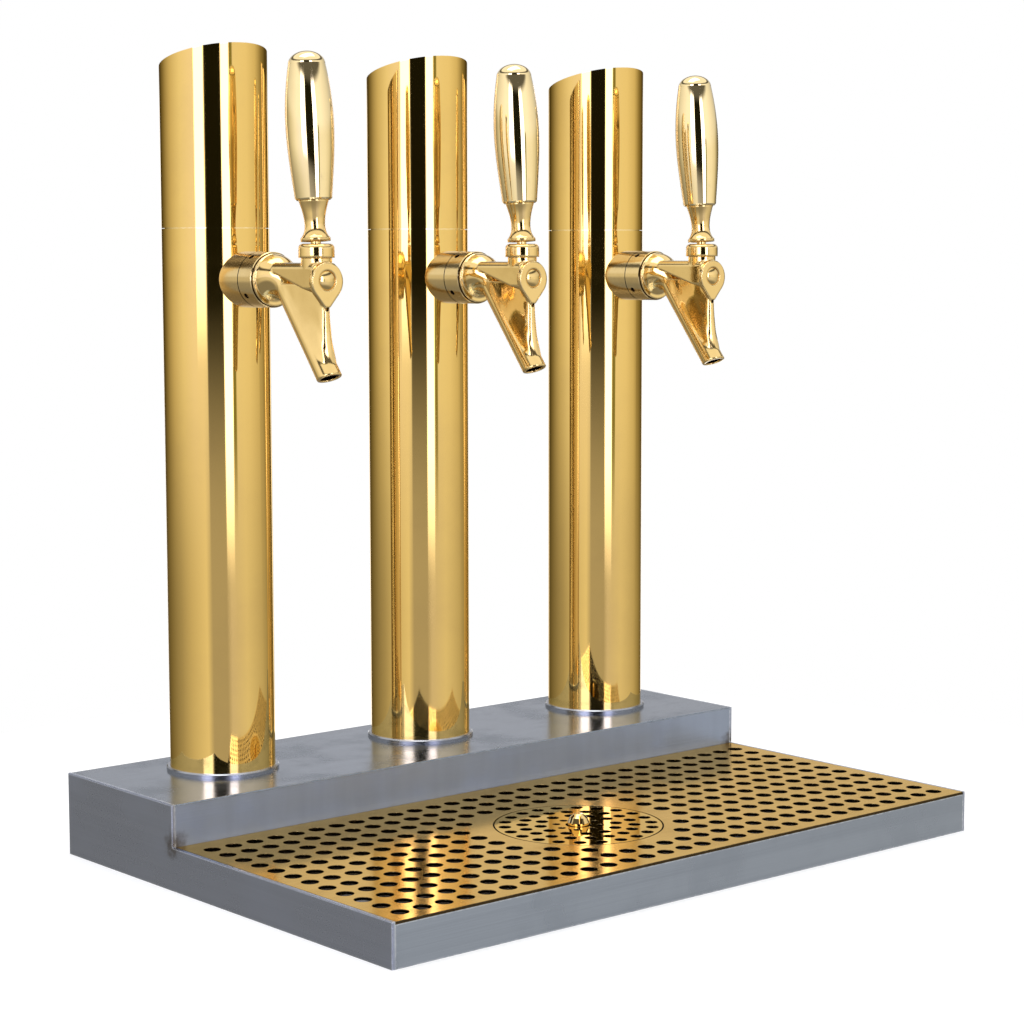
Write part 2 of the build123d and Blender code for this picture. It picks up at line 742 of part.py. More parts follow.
with BuildPart() as tap_body:
    # Arm: flat cheeks with a rounded top, tapering under the head; its sole rises to the heel.
    with BuildSketch(Plane.XZ.offset(elbow_start)):
        with BuildLine():
            Polyline(
                (-arm_half_width, arm_top),
                (arm_half_width, arm_top),
                (arm_half_width, arm_taper_height),
                (rib_half_width, head_tip_height),
                (-rib_half_width, head_tip_height),
                (-arm_half_width, arm_taper_height),
                close=True,
            )
        make_face()
    extrude(amount=head_rear - elbow_start)
    fillet(tap_body.edges().filter_by(Axis.Y).group_by(Axis.Z)[-1], arm_top_radius)
    with BuildSketch(Plane.YZ):
        with BuildLine():
            Polyline(
                (-head_front, arm_toe_height),
                (-spout_root, arm_heel_height),
                (0, arm_heel_height),
                (0, 2 * head_tip_height),
                (-head_front, 2 * head_tip_height),
                close=True,
            )
        make_face()
    extrude(amount=arm_half_width, both=True, mode=Mode.SUBTRACT)
    # Rear end with its collar, trapped by the coupling nut.
    with BuildSketch(Plane.XZ.offset(body_rear)):
        Circle(shank_head_radius)
    extrude(amount=collar_rear - body_rear)
    with BuildSketch(Plane.XZ.offset(collar_rear)):
        Circle(body_collar_radius)
    extrude(amount=body_collar_thickness)
    # Elbow: round sections that turn down and shrink from the collar to the spout.
    for step in range(elbow_steps + 1):
        share = step / elbow_steps
        bend = elbow_turn * share
        centre_y = -elbow_start - elbow_bend * math.sin(bend)
        centre_z = elbow_rise - elbow_bend * (1 - math.cos(bend))
        along = (0, -math.cos(bend), -math.sin(bend))
        with BuildSketch(Plane(origin=(0, centre_y, centre_z), x_dir=(1, 0, 0), z_dir=along)):
            Circle(elbow_root_radius - (elbow_root_radius - spout_radius) * share**2 * (3 - 2 * share))
    loft()
    # Spout tube, from the end of the elbow.
    elbow_end_y = -elbow_start - elbow_bend * math.sin(elbow_turn)
    elbow_end_z = elbow_rise - elbow_bend * (1 - math.cos(elbow_turn))
    with BuildSketch(Plane(origin=(0, elbow_end_y, elbow_end_z), x_dir=(1, 0, 0), z_dir=spout_direction)):
        Circle(spout_radius)
    extrude(amount=spout_length)
    # Web and front rib: level sections that join the spout's oval to the rib's round front.
    web_top_height = -bar_bore_radius / 2
    web_radius = spout_radius * web_width_share
    web_bottom_height = -mouth_drop * rib_end_share
    for step in range(rib_steps + 1):
        share = step / rib_steps
        height = web_top_height + (web_bottom_height - web_top_height) * share
        rib_radius = rib_half_width + (spout_radius * rib_foot_share - rib_half_width) * share**3
        with BuildSketch(Plane.XY.offset(height)):
            with Locations((0, spout_y(height))):
                Ellipse(web_radius, web_radius / math.cos(spout_down))
            with Locations((0, -rib_front + rib_half_width)):
                Circle(rib_radius)
            make_hull()
    loft()
    split(bisect_by=Plane(origin=mouth_centre, x_dir=(1, 0, 0), z_dir=mouth_normal), keep=Keep.BOTTOM)
    # Heart-shaped front face that tapers into the rib.
    with BuildSketch(Plane.XZ.offset(head_rear)):
        with Locations((0, -head_drop)):
            Circle(head_radius)
        with Locations((0, head_tip_height)):
            Circle(rib_half_width)
        make_hull()
    extrude(amount=head_flange_thickness)
    fillet(tap_body.faces().sort_by(Axis.Y)[0].outer_wire().edges(), head_edge_radius)
    # Neck for the bonnet, with its thinner thread above.
    with BuildSketch(Plane.XY.offset(arm_top - arm_top_radius)):
        with Locations((0, -lever_reach)):
            Circle(neck_radius)
    extrude(amount=neck_top - arm_top + arm_top_radius)
    with BuildSketch(Plane.XY.offset(neck_top)):
        with Locations((0, -lever_reach)):
            Circle(bonnet_thread_radius)
    extrude(amount=washer_seat_height + washer_height)
    # Waterway: valve seat and chamber, then the spout's bore.
    with BuildSketch(Plane.XZ.offset(body_rear)):
        Circle(chamber_radius)
    extrude(amount=spout_root - body_rear, mode=Mode.SUBTRACT)
    with BuildSketch(Plane(origin=(0, -spout_root, 0), x_dir=(1, 0, 0), z_dir=spout_direction)):
        Circle(spout_bore_radius)
    extrude(amount=spout_length + 2 * spout_radius, mode=Mode.SUBTRACT)
    # Bores for the plunger's stem, its slotted bar and its front button.
    with BuildSketch(Plane.XZ.offset(spout_root)):
        Circle(plunger_stem_radius + plunger_clearance)
    extrude(amount=bar_bore_rear - spout_root, mode=Mode.SUBTRACT)
    with BuildSketch(Plane.XZ.offset(bar_bore_rear)):
        Circle(bar_bore_radius)
    extrude(amount=head_front - bar_bore_rear, mode=Mode.SUBTRACT)
    with BuildSketch(Plane.XZ.offset(button_bore_rear)):
        Circle(button_radius + plunger_clearance)
    extrude(amount=head_front - button_bore_rear, mode=Mode.SUBTRACT)
    # Ball cup and the chamber that the lever's finger swings in.
    with BuildSketch(Plane.YZ.offset(-slot_half)):
        with BuildLine():
            Polyline(
                (finger_rest_y - slot_half, -finger_radius),
                (finger_open_y + slot_half, -finger_radius),
                (finger_open_y + slot_half, finger_radius),
                (-lever_reach + ball_radius * cup_rear_share, pivot_height - ball_radius / 2),
                (-lever_reach - ball_radius * cup_front_share, pivot_height - ball_radius / 2),
                (finger_rest_y - slot_half, finger_radius),
                close=True,
            )
        make_face()
    extrude(amount=2 * slot_half, mode=Mode.SUBTRACT)
    with Locations((0, -lever_reach, pivot_height)):
        Sphere(ball_radius + ball_clearance, mode=Mode.SUBTRACT)
        Cylinder(
            ball_radius + ball_clearance,
            washer_seat_height,
            align=(Align.CENTER, Align.CENTER, Align.MIN),
            mode=Mode.SUBTRACT,
        )
    with Locations((0, -lever_reach, pivot_height + washer_seat_height)):
        Cylinder(
            bonnet_thread_radius - bonnet_thread_wall,
            2 * washer_height,
            align=(Align.CENTER, Align.CENTER, Align.MIN),
            mode=Mode.SUBTRACT,
        )
    # Vent hole at the top of the rib.
    with BuildSketch(Plane.XZ.offset(head_front - vent_depth)):
        with Locations((0, -vent_drop)):
            Circle(vent_radius)
    extrude(amount=vent_depth, mode=Mode.SUBTRACT)

for name, x in stations:
    write_piece(tap_body, f"tap_body_{name}", Location((x, column_y, tap_z)))

# ---------------------------------------------------------------- tap: plunger
# The front button slides in the head; the finger's slot is in the bar behind it, and the stem
# runs back through the valve seat to the washer and its nut.
washer_front = body_rear - joint_clearance
plunger_rear = washer_front - seat_washer_thickness - plunger_nut_length
with BuildPart() as plunger:
    with BuildSketch(Plane.XY):
        with BuildLine():
            Polyline(
                (button_radius, -button_front),
                (button_radius, -button_rear),
                (bar_radius, -button_rear),
                (bar_radius, -bar_rear),
                (plunger_stem_radius, -bar_rear),
                (plunger_stem_radius, -plunger_rear - plunger_nut_length),
                (plunger_nut_radius, -plunger_rear - plunger_nut_length),
                (plunger_nut_radius, -plunger_rear),
                (0, -plunger_rear),
                (0, -button_front - button_dome),
            )
            dome_radius = (button_radius**2 + button_dome**2) / (2 * button_dome)
            RadiusArc((0, -button_front - button_dome), (button_radius, -button_front), -dome_radius)
        make_face()
    revolve(axis=Axis.Y)
    with Locations((0, finger_rest_y, -finger_radius - slot_clearance)):
        Box(
            2 * slot_half,
            2 * slot_half,
            4 * finger_radius,
            align=(Align.CENTER, Align.CENTER, Align.MIN),
            mode=Mode.SUBTRACT,
        )
    # Flat on the bar's top, so that the leaning finger clears the slot's edges.
    with BuildSketch(Plane.XY.offset(finger_radius)):
        with Locations((0, -button_rear)):
            Rectangle(2 * bar_radius, button_rear - bar_rear, align=(Align.CENTER, Align.MIN))
    extrude(amount=bar_radius, mode=Mode.SUBTRACT)

with BuildPart() as seat_washer:
    with BuildSketch(Plane.XZ.offset(washer_front - seat_washer_thickness)):
        Circle(seat_washer_radius)
        Circle(plunger_stem_radius, mode=Mode.SUBTRACT)
    extrude(amount=seat_washer_thickness)

for name, x in stations:
    tap_place = Location((x, column_y, tap_z))
    write_piece(plunger, f"plunger_{name}", tap_place)
    write_piece(seat_washer, f"seat_washer_{name}", tap_place)

# ---------------------------------------------------------------- tap: bonnet and washer
# The friction washer presses the ball into its cup; the bonnet's cone lets the lever swing.
swing = math.radians(lever_pull)
washer_base = pivot_height + washer_seat_height
washer_top = washer_base + washer_height


def swing_radius(height):
    """Clear radius that the tilted lever neck needs at a height above the pivot."""
    return height * math.tan(swing) + lever_neck_radius / math.cos(swing) + swing_clearance


ball_seat = ball_radius + ball_clearance
washer_low_radius = math.sqrt(ball_seat**2 - washer_seat_height**2)
washer_mid_height = washer_seat_height + washer_height * washer_curve_share
washer_mid_radius = math.sqrt(ball_seat**2 - washer_mid_height**2)
with BuildPart() as friction_washers:
    for x in column_x:
        pivot_x = x
        pivot_y = column_y - lever_reach
        with BuildSketch(Plane.XY.offset(tap_z + washer_base)):
            with Locations((pivot_x, pivot_y)):
                Circle(bonnet_thread_radius - bonnet_thread_wall - joint_clearance)
        extrude(amount=washer_height - joint_clearance)
        with Locations((pivot_x, pivot_y, tap_z + pivot_height)):
            Sphere(ball_seat, mode=Mode.SUBTRACT)
        with BuildSketch(Plane.XY.offset(tap_z + pivot_height + washer_mid_height)):
            with Locations((pivot_x, pivot_y)):
                Circle(washer_mid_radius)
        with BuildSketch(Plane.XY.offset(tap_z + washer_top)):
            with Locations((pivot_x, pivot_y)):
                Circle(swing_radius(washer_top - pivot_height))
        loft(mode=Mode.SUBTRACT)
write_piece(friction_washers, "friction_washers")

web_top = washer_top + joint_clearance
bonnet_rim = bonnet_radius - swing_radius(bonnet_top - pivot_height)
with BuildPart() as bonnet:
    with BuildSketch(Plane.XZ):
        with BuildLine():
            Polyline(
                (bonnet_thread_radius + joint_clearance, neck_top),
                (bonnet_radius, neck_top),
                (bonnet_radius, bonnet_top),
                (swing_radius(bonnet_top - pivot_height), bonnet_top),
                (swing_radius(web_top - pivot_height), web_top),
                (bonnet_thread_radius + joint_clearance, web_top),
                close=True,
            )
        make_face()
    revolve(axis=Axis.Z)
    shoulder_edge = bonnet.edges().filter_by(GeomType.CIRCLE).group_by(Axis.Z)[-1].sort_by(SortBy.RADIUS)[-1]
    fillet(shoulder_edge, bonnet_rim * bonnet_round_share)

# ---------------------------------------------------------------- tap: lever
# The lever stands on its ball's centre; it is tilted to its rest lean when it is placed.
with BuildPart() as lever:
    with BuildSketch(Plane.XY):
        Circle(lever_neck_radius)
    extrude(amount=lever_stud_end)
    with BuildSketch(Plane.XY.offset(-pivot_height)):
        Circle(finger_neck_radius)
    extrude(amount=pivot_height)
    Sphere(ball_radius)
    with Locations((0, 0, -pivot_height)):
        Sphere(finger_radius)

# A waisted ferrule with a beaded foot; the foot is hollow so that it clears the bonnet.
ferrule_length = ferrule_top - ferrule_foot
ferrule_neck_radius = ferrule_waist_radius + (ferrule_top_radius - ferrule_waist_radius) * ferrule_neck_share
ferrule_flare_radius = ferrule_waist_radius * ferrule_flare_share
stud_bore_radius = lever_neck_radius + thread_clearance
recess_top = ferrule_foot + ferrule_recess
with BuildPart() as ferrule:
    with BuildSketch(Plane.XZ):
        with BuildLine():
            Polyline(
                (ferrule_foot_radius, ferrule_foot + ferrule_bead),
                (ferrule_foot_radius, ferrule_foot),
                (ferrule_foot_radius - ferrule_skirt, ferrule_foot),
                (ferrule_waist_radius - ferrule_skirt, recess_top),
                (stud_bore_radius, recess_top),
                (stud_bore_radius, ferrule_top),
                (ferrule_top_radius, ferrule_top),
            )
            Spline(
                (ferrule_top_radius, ferrule_top),
                (ferrule_neck_radius, ferrule_foot + ferrule_length * ferrule_neck_height),
                (ferrule_waist_radius, ferrule_foot + ferrule_length * ferrule_waist_height),
                (ferrule_flare_radius, ferrule_foot + ferrule_length * ferrule_flare_height),
                (ferrule_foot_radius, ferrule_foot + ferrule_bead),
            )
        make_face()
    revolve(axis=Axis.Z)

handle_top = ferrule_top + handle_length
handle_shoulder = handle_top - handle_dome_rise
stud_bore_end = lever_stud_end + stud_end_gap
lower_radius = (handle_bottom_radius + handle_belly_radius) / 2
upper_radius = (handle_shoulder_radius + handle_belly_radius) / 2
with BuildPart() as handle:
    with BuildSketch(Plane.XZ):
        with BuildLine():
            Polyline(
                (handle_bottom_radius, ferrule_top + handle_bottom_edge),
                (handle_bottom_radius - handle_bottom_edge, ferrule_top),
                (stud_bore_radius, ferrule_top),
                (stud_bore_radius, stud_bore_end),
                (0, stud_bore_end),
                (0, handle_top),
            )
            Bezier(
                (0, handle_top),
                (handle_shoulder_radius * dome_fullness, handle_top),
                (handle_shoulder_radius, handle_shoulder + handle_dome_rise * dome_fullness),
                (handle_shoulder_radius, handle_shoulder),
            )
            Spline(
                (handle_bottom_radius, ferrule_top + handle_bottom_edge),
                (lower_radius, ferrule_top + handle_length * handle_lower_height),
                (handle_belly_radius, ferrule_top + handle_length * handle_belly_height),
                (upper_radius, ferrule_top + handle_length * handle_upper_height),
                (handle_shoulder_radius, handle_shoulder),
            )
        make_face()
    revolve(axis=Axis.Z)

for name, x in stations:
    write_piece(bonnet, f"bonnet_{name}", Location((x, column_y - lever_reach, tap_z)))
    lever_place = Location((x, column_y - lever_reach, tap_z + pivot_height), (-lever_lean, 0, 0))
    write_piece(lever, f"lever_{name}", lever_place)
    write_piece(ferrule, f"ferrule_{name}", lever_place)
    write_piece(handle, f"handle_{name}", lever_place)

# ---------------------------------------------------------------- beer lines
# Steel tube from the shank, round one bend and down the column to the port in the base plate.
with BuildPart() as beer_line:
    with BuildLine():
        route = FilletPolyline(
            (0, -shank_inner_end - line_entry, tap_z),
            (0, line_offset, tap_z),
            (0, line_offset, line_end_recess),
            radius=line_bend_radius,
        )
    with BuildSketch(Plane(origin=route @ 0, x_dir=(1, 0, 0), z_dir=route % 0)):
        Circle(line_radius)
        Circle(line_radius - line_wall, mode=Mode.SUBTRACT)
    sweep(path=route)
for name, x in stations:
    write_piece(beer_line, f"beer_line_{name}", Location((x, column_y, 0)))
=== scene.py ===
"""Dresses and lights the beer tower dispenser: finishes, the drilled drip plates and the studio.

Lengths are in metres and angles in degrees.
"""

import json
import logging
import math
from dataclasses import dataclass
from enum import Enum

import bmesh
import bpy
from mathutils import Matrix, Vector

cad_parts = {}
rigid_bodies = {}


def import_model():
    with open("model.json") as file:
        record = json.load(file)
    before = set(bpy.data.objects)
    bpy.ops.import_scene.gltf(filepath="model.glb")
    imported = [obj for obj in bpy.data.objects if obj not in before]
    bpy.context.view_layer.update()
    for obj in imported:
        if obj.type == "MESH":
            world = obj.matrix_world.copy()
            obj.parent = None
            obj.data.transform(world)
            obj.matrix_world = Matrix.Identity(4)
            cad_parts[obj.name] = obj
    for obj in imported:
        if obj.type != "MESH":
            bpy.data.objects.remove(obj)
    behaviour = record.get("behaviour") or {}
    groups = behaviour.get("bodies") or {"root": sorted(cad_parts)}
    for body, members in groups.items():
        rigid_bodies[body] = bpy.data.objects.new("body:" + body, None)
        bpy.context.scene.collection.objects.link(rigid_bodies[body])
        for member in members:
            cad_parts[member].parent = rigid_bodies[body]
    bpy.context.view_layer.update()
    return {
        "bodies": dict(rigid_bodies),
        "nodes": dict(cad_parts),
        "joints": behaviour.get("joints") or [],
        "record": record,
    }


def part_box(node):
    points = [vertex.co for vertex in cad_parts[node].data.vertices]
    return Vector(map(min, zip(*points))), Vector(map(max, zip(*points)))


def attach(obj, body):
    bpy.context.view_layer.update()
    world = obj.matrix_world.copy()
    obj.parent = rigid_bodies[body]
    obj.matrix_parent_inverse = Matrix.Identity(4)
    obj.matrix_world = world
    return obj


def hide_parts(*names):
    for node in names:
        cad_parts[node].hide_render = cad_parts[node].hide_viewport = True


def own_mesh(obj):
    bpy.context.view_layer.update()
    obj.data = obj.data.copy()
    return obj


LOG = logging.getLogger("beer_tower")
WHITE = (1.0, 1.0, 1.0)
Colour = tuple[float, float, float]
Point = tuple[float, float, float]
Stop = tuple[float, float, float]
Pair = tuple[float, float]
Socket = bpy.types.NodeSocket
Sockets = bpy.types.bpy_prop_collection
Piece = bpy.types.Object
Tree = bpy.types.NodeTree


# ---- small helpers
class Station(Enum):
    """The three columns with their taps, by the ends of their pieces' names."""

    LEFT = "left"
    MIDDLE = "middle"
    RIGHT = "right"


def rgba(colour: Colour) -> tuple[float, float, float, float]:
    """Give a colour with full opacity."""
    return (*colour, 1.0)


def deselect_all() -> None:
    """Leave edit mode and select nothing."""
    if bpy.context.object is not None and bpy.context.object.mode != "OBJECT":
        bpy.ops.object.mode_set(mode="OBJECT")
    bpy.ops.object.select_all(action="DESELECT")


def make_active(piece: Piece) -> None:
    """Select one object alone and make it the active one.

    Args:
        piece: The object.
    """
    deselect_all()
    piece.select_set(True)
    bpy.context.view_layer.objects.active = piece


def apply_modifiers(piece: Piece) -> None:
    """Apply every modifier of a piece, in order.

    Args:
        piece: The piece.
    """
    make_active(piece)
    for modifier in list(piece.modifiers):
        bpy.ops.object.modifier_apply(modifier=modifier.name)


def settle(piece: Piece) -> None:
    """Put a piece's place into its mesh, so that its object stands at the origin, unturned."""
    make_active(piece)
    bpy.ops.object.transform_apply(location=True, rotation=True, scale=True)


def join_pieces(pieces: list[Piece]) -> Piece:
    """Join meshes into the first one.

    Args:
        pieces: The meshes, the one that stays first.

    Returns:
        The joined object.
    """
    make_active(pieces[0])
    for piece in pieces:
        piece.select_set(True)
    bpy.ops.object.join()
    return bpy.context.object


def middle_of(node: str) -> Point:
    """Give the middle of a CAD node's box."""
    low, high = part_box(node)
    return tuple((start + end) / 2 for start, end in zip(low, high))


# ---- node helpers
@dataclass
class NodeDesk:
    """Places and links the shader nodes of its tree."""

    tree: Tree

    def feed(self, targets: Sockets, values: dict[str | int, object]) -> None:
        """Link sockets to a node's inputs, or set constants on them.

        Args:
            targets: The node's inputs.
            values: Sockets or constants by the input's name or index; a colour has three parts.
        """
        for name, value in values.items():
            target = targets[name]
            if isinstance(value, Socket):
                self.tree.links.new(value, target)
            else:
                target.default_value = rgba(value) if target.type == "RGBA" else value

    def add(self, kind: str, inputs: dict | None = None, **settings: object) -> bpy.types.Node:
        """Add a node, set its properties and feed its inputs.

        Args:
            kind: The node's type name, without ShaderNode before it.
            inputs: What its inputs get, as feed takes it.
            settings: Properties of the node by name.

        Returns:
            The new node.
        """
        node = self.tree.nodes.new(f"ShaderNode{kind}")
        for name, value in settings.items():
            setattr(node, name, value)
        self.feed(node.inputs, inputs or {})
        return node

    def math(self, operation: str, *values: Socket | float) -> Socket:
        """Work out one operation of the Math node on sockets or numbers."""
        return self.add("Math", dict(enumerate(values)), operation=operation).outputs[0]

    def ranged(
        self, value: Socket, low: float, high: float, out_low: float = 0.0, out_high: float = 1.0
    ) -> Socket:
        """Map a value from one range to another, clamped and smooth."""
        inputs = {"Value": value, "From Min": low, "From Max": high, "To Min": out_low, "To Max": out_high}
        return self.add("MapRange", inputs, interpolation_type="SMOOTHSTEP").outputs["Result"]

    def fading(self, value: Socket, low: float, high: float) -> Socket:
        """Map a value to 1 up to the low limit, and smoothly down to 0 at the high one."""
        return self.ranged(value, low, high, 1.0, 0.0)

    def mixed(self, share: Socket, first: Socket | Colour, second: Socket | Colour) -> Socket:
        """Mix two colours, given the second one's share."""
        return self.add("Mix", {"Factor": share, 6: first, 7: second}, data_type="RGBA").outputs[2]

    def noise(self, vector: Socket, scale: Socket | float, detail: float, rough: float = 0.5) -> Socket:
        """Add a noise, given its scale per metre, its octaves and the small octaves' strength."""
        inputs = {"Vector": vector, "Scale": scale, "Detail": detail, "Roughness": rough}
        return self.add("TexNoise", inputs).outputs["Fac"]

    def stretched(self, vector: Socket, scale: Socket | Point) -> Socket:
        """Scale coordinates differently along each axis."""
        return self.add("Mapping", {"Vector": vector, "Scale": scale}).outputs["Vector"]

    def distance(self, place: Socket, point: Point) -> Socket:
        """Measure how far a place is from a fixed point."""
        return self.add("VectorMath", {0: place, 1: point}, operation="DISTANCE").outputs["Value"]

    def parts(self, vector: Socket) -> Sockets:
        """Split a vector into parts by the names X, Y and Z."""
        return self.add("SeparateXYZ", {"Vector": vector}).outputs

    def group(self, tree: Tree, values: dict[str, object]) -> Sockets:
        """Place a node group with its own values and give its outputs."""
        return self.add("Group", values, node_tree=tree).outputs

    def object_place(self) -> Socket:
        """Give the Object coordinates."""
        return self.add("TexCoord").outputs["Object"]


def new_material(name: str) -> tuple[bpy.types.Material, NodeDesk, Sockets]:
    """Make a material with nodes.

    Args:
        name: The material's name.

    Returns:
        The material, a desk for its nodes and its shader's inputs.
    """
    material = bpy.data.materials.new(name)
    material.use_nodes = True
    tree = material.node_tree
    return material, NodeDesk(tree), tree.nodes["Principled BSDF"].inputs


def new_group(
    name: str, inputs: dict[str, object], outputs: tuple[str, ...]
) -> tuple[NodeDesk, Sockets, Sockets]:
    """Make a shader node group with named sockets.

    Args:
        name: The group's name.
        inputs: Default values of its inputs; a point makes a vector, a number makes a value.
        outputs: Names of the values that it puts out.

    Returns:
        A desk for the group's nodes, what the group is given, and where its results go.
    """
    tree = bpy.data.node_groups.new(name, "ShaderNodeTree")
    for label, value in inputs.items():
        kind = "NodeSocketVector" if isinstance(value, tuple) else "NodeSocketFloat"
        tree.interface.new_socket(label, in_out="INPUT", socket_type=kind).default_value = value
    for label in outputs:
        tree.interface.new_socket(label, in_out="OUTPUT", socket_type="NodeSocketFloat")
    given = tree.nodes.new("NodeGroupInput").outputs
    result = tree.nodes.new("NodeGroupOutput").inputs
    return NodeDesk(tree), given, result


# ---- shared effects
@dataclass
class Effects:
    """Shader node groups that several finishes share, each built once.

    Attributes:
        speck_scale: Scale of dried drops, per metre.
        speck_strength: How strongly they show.
        broad_stretch: Stretch of the broad lines against the fine ones.
        worn_highlight_scale: Scale of the breaks in the worn edges and their painted highlight, per metre.
        least_worn_highlight: How much of the wear and painted highlight shows in a break.
    """

    speck_scale: float = 900.0
    speck_strength: float = 0.5
    broad_stretch: Point = (0.5, 0.16, 0.16)
    worn_highlight_scale: float = 260.0
    least_worn_highlight: float = 0.35

    def __post_init__(self) -> None:
        """Build the groups."""
        self.handling = self.build_handling()
        self.grain = self.build_grain()
        self.edges = self.build_edges()

    def handled(self, desk: NodeDesk, clean: float, smudged: float, size: float) -> Sockets:
        """Place the handling group, given both roughnesses and the smudges' scale."""
        values = {"Clean Roughness": clean, "Smudge Roughness": smudged, "Size": size}
        return desk.group(self.handling, values)

    def build_handling(self) -> Tree:
        """Build the group for wiped, smudged metal.

        Returns:
            A group that gives a roughness and a dulling mask.
        """
        desk, given, result = new_group(
            "handling_marks",
            {"Clean Roughness": 0.05, "Smudge Roughness": 0.12, "Size": 18.0},
            ("Roughness", "Dulling"),
        )
        place = desk.object_place()
        patch = desk.ranged(desk.noise(place, given["Size"], 4.0, 0.62), 0.42, 0.72)
        specks = desk.ranged(desk.noise(place, self.speck_scale, 2.0), 0.60, 0.74, 0.0, self.speck_strength)
        smudge = desk.math("MAXIMUM", patch, specks)
        clean = given["Clean Roughness"]
        spread = desk.math("SUBTRACT", given["Smudge Roughness"], clean)
        roughness = desk.math("MULTIPLY_ADD", spread, smudge, clean)
        desk.feed(result, {"Roughness": roughness, "Dulling": smudge})
        return desk.tree

    def build_grain(self) -> Tree:
        """Build the group for brushed and turned lines.

        Returns:
            A group that gives a height and a mask of the lines.
        """
        desk, given, result = new_group(
            "brushed_grain", {"Line Scale": (3.0, 900.0, 900.0), "Broad Share": 0.4}, ("Height", "Lines")
        )
        lines = desk.stretched(desk.object_place(), given["Line Scale"])
        fine = desk.noise(lines, 1.0, 2.0, 0.6)
        broad = desk.noise(desk.stretched(lines, self.broad_stretch), 1.0, 3.0, 0.6)
        blend = {"Factor": given["Broad Share"], 2: fine, 3: broad}
        height = desk.add("Mix", blend, data_type="FLOAT").outputs[0]
        desk.feed(result, {"Height": height, "Lines": desk.ranged(broad, 0.35, 0.65)})
        return desk.tree

    def build_edges(self) -> Tree:
        """Build the group that finds worn edges, which get wear and a painted highlight.

        Returns:
            A group that gives a mask of the edges, for their wear and painted highlight.
        """
        desk, given, result = new_group("edge_wear_and_highlight", {"Reach": 0.0009}, ("Mask",))
        bevel = desk.add("Bevel", {"Radius": given["Reach"]}, samples=4)
        shape = desk.add("NewGeometry")
        normals = {0: bevel.outputs["Normal"], 1: shape.outputs["Normal"]}
        turned = desk.add("VectorMath", normals, operation="DOT_PRODUCT")
        edge = desk.fading(turned.outputs["Value"], 0.80, 0.985)
        spots = desk.noise(desk.object_place(), self.worn_highlight_scale, 3.0)
        broken = desk.ranged(spots, 0.38, 0.58, self.least_worn_highlight, 1.0)
        desk.feed(result, {"Mask": desk.math("MULTIPLY", edge, broken)})
        return desk.tree


# ---- finishes
@dataclass(frozen=True)
class MetalFinish:
    """One metal finish.

    Attributes:
        name: The material's name.
        colour: Reflected colour of the clean metal.
        worn_colour: Colour where it is dulled by handling.
        edge_wear_highlight_colour: Colour on its edges: wear with a painted highlight.
        clean_roughness: Roughness where it is clean.
        smudge_roughness: Roughness where it is smudged.
        smudge_size: Scale of the smudges, per metre.
        dulling: How strongly smudges change the colour.
        line_scale: Stretch of the brushed lines; long where small.
        line_depth: Strength of the lines' relief.
        line_height: Height of the lines.
        line_tint: How strongly the lines darken the colour.
        edge_reach: Width of the worn edges with their painted highlight.
        soft_edge: Radius to which shading rounds the edges, or 0 to leave them crisp.
        soft_samples: Samples that the rounding takes.
        grazing_tint: Tint of the metal where it is seen along its surface.
        painted_reflection_colour: Painted reflection: the paler colour that neighbouring metal mirrors in
            place of this one's, or None.
    """

    name: str
    colour: Colour
    worn_colour: Colour
    edge_wear_highlight_colour: Colour
    clean_roughness: float
    smudge_roughness: float
    smudge_size: float = 18.0
    dulling: float = 0.3
    line_scale: Point = (3.0, 900.0, 900.0)
    line_depth: float = 0.02
    line_height: float = 0.001
    line_tint: float = 0.0
    edge_reach: float = 0.0008
    soft_edge: float = 0.0
    soft_samples: int = 12
    grazing_tint: Colour = WHITE
    painted_reflection_colour: Colour | None = None

    def build(self, effects: Effects) -> bpy.types.Material:
        """Build the material.

        Args:
            effects: The shared node groups.

        Returns:
            The finished material.
        """
        material, desk, shader = new_material(self.name)
        handling = effects.handled(desk, self.clean_roughness, self.smudge_roughness, self.smudge_size)
        grain = desk.group(effects.grain, {"Line Scale": self.line_scale})
        edges = desk.group(effects.edges, {"Reach": self.edge_reach})
        smudge_share = desk.math("MULTIPLY", handling["Dulling"], self.dulling)
        colour = desk.mixed(smudge_share, self.colour, self.worn_colour)
        line_share = desk.math("MULTIPLY", grain["Lines"], self.line_tint)
        # Local stains, and the painted shade and painted reflection that some finishes add.
        colour = self.stains_and_painted_light(desk, desk.mixed(line_share, colour, self.worn_colour))
        # Worn edges: wear and a painted highlight in the edge colour.
        colour = self.paint_recess_shade(desk, desk.mixed(edges["Mask"], colour, self.edge_wear_highlight_colour))
        # Painted reflection: in glossy rays this metal shows a paler colour than its own.
        if self.painted_reflection_colour is not None:
            path = desk.add("LightPath")
            colour = desk.mixed(path.outputs["Is Glossy Ray"], colour, self.painted_reflection_colour)
        relief = {"Strength": self.line_depth, "Distance": self.line_height, "Height": grain["Height"]}
        if self.soft_edge > 0:
            rounding = desk.add("Bevel", {"Radius": self.soft_edge}, samples=self.soft_samples)
            relief["Normal"] = rounding.outputs["Normal"]
        desk.feed(
            shader,
            {
                "Base Color": colour,
                "Metallic": 1.0,
                "Roughness": self.dull(desk, handling["Roughness"]),
                "Specular Tint": self.grazing_tint,
                "Normal": desk.add("Bump", relief).outputs["Normal"],
            },
        )
        return material

    def stains_and_painted_light(self, desk: NodeDesk, colour: Socket) -> Socket:
        """Give the colour as it is; finishes with local stains, painted shade on hole walls and a painted
        reflection on a wall change it.
        """
        return colour

    def paint_recess_shade(self, desk: NodeDesk, colour: Socket) -> Socket:
        """Give the colour as it is; finishes with painted shade in their recesses change it."""
        return colour

    def dull(self, desk: NodeDesk, roughness: Socket) -> Socket:
        """Give the roughness as it is; finishes with duller places change it."""
        return roughness


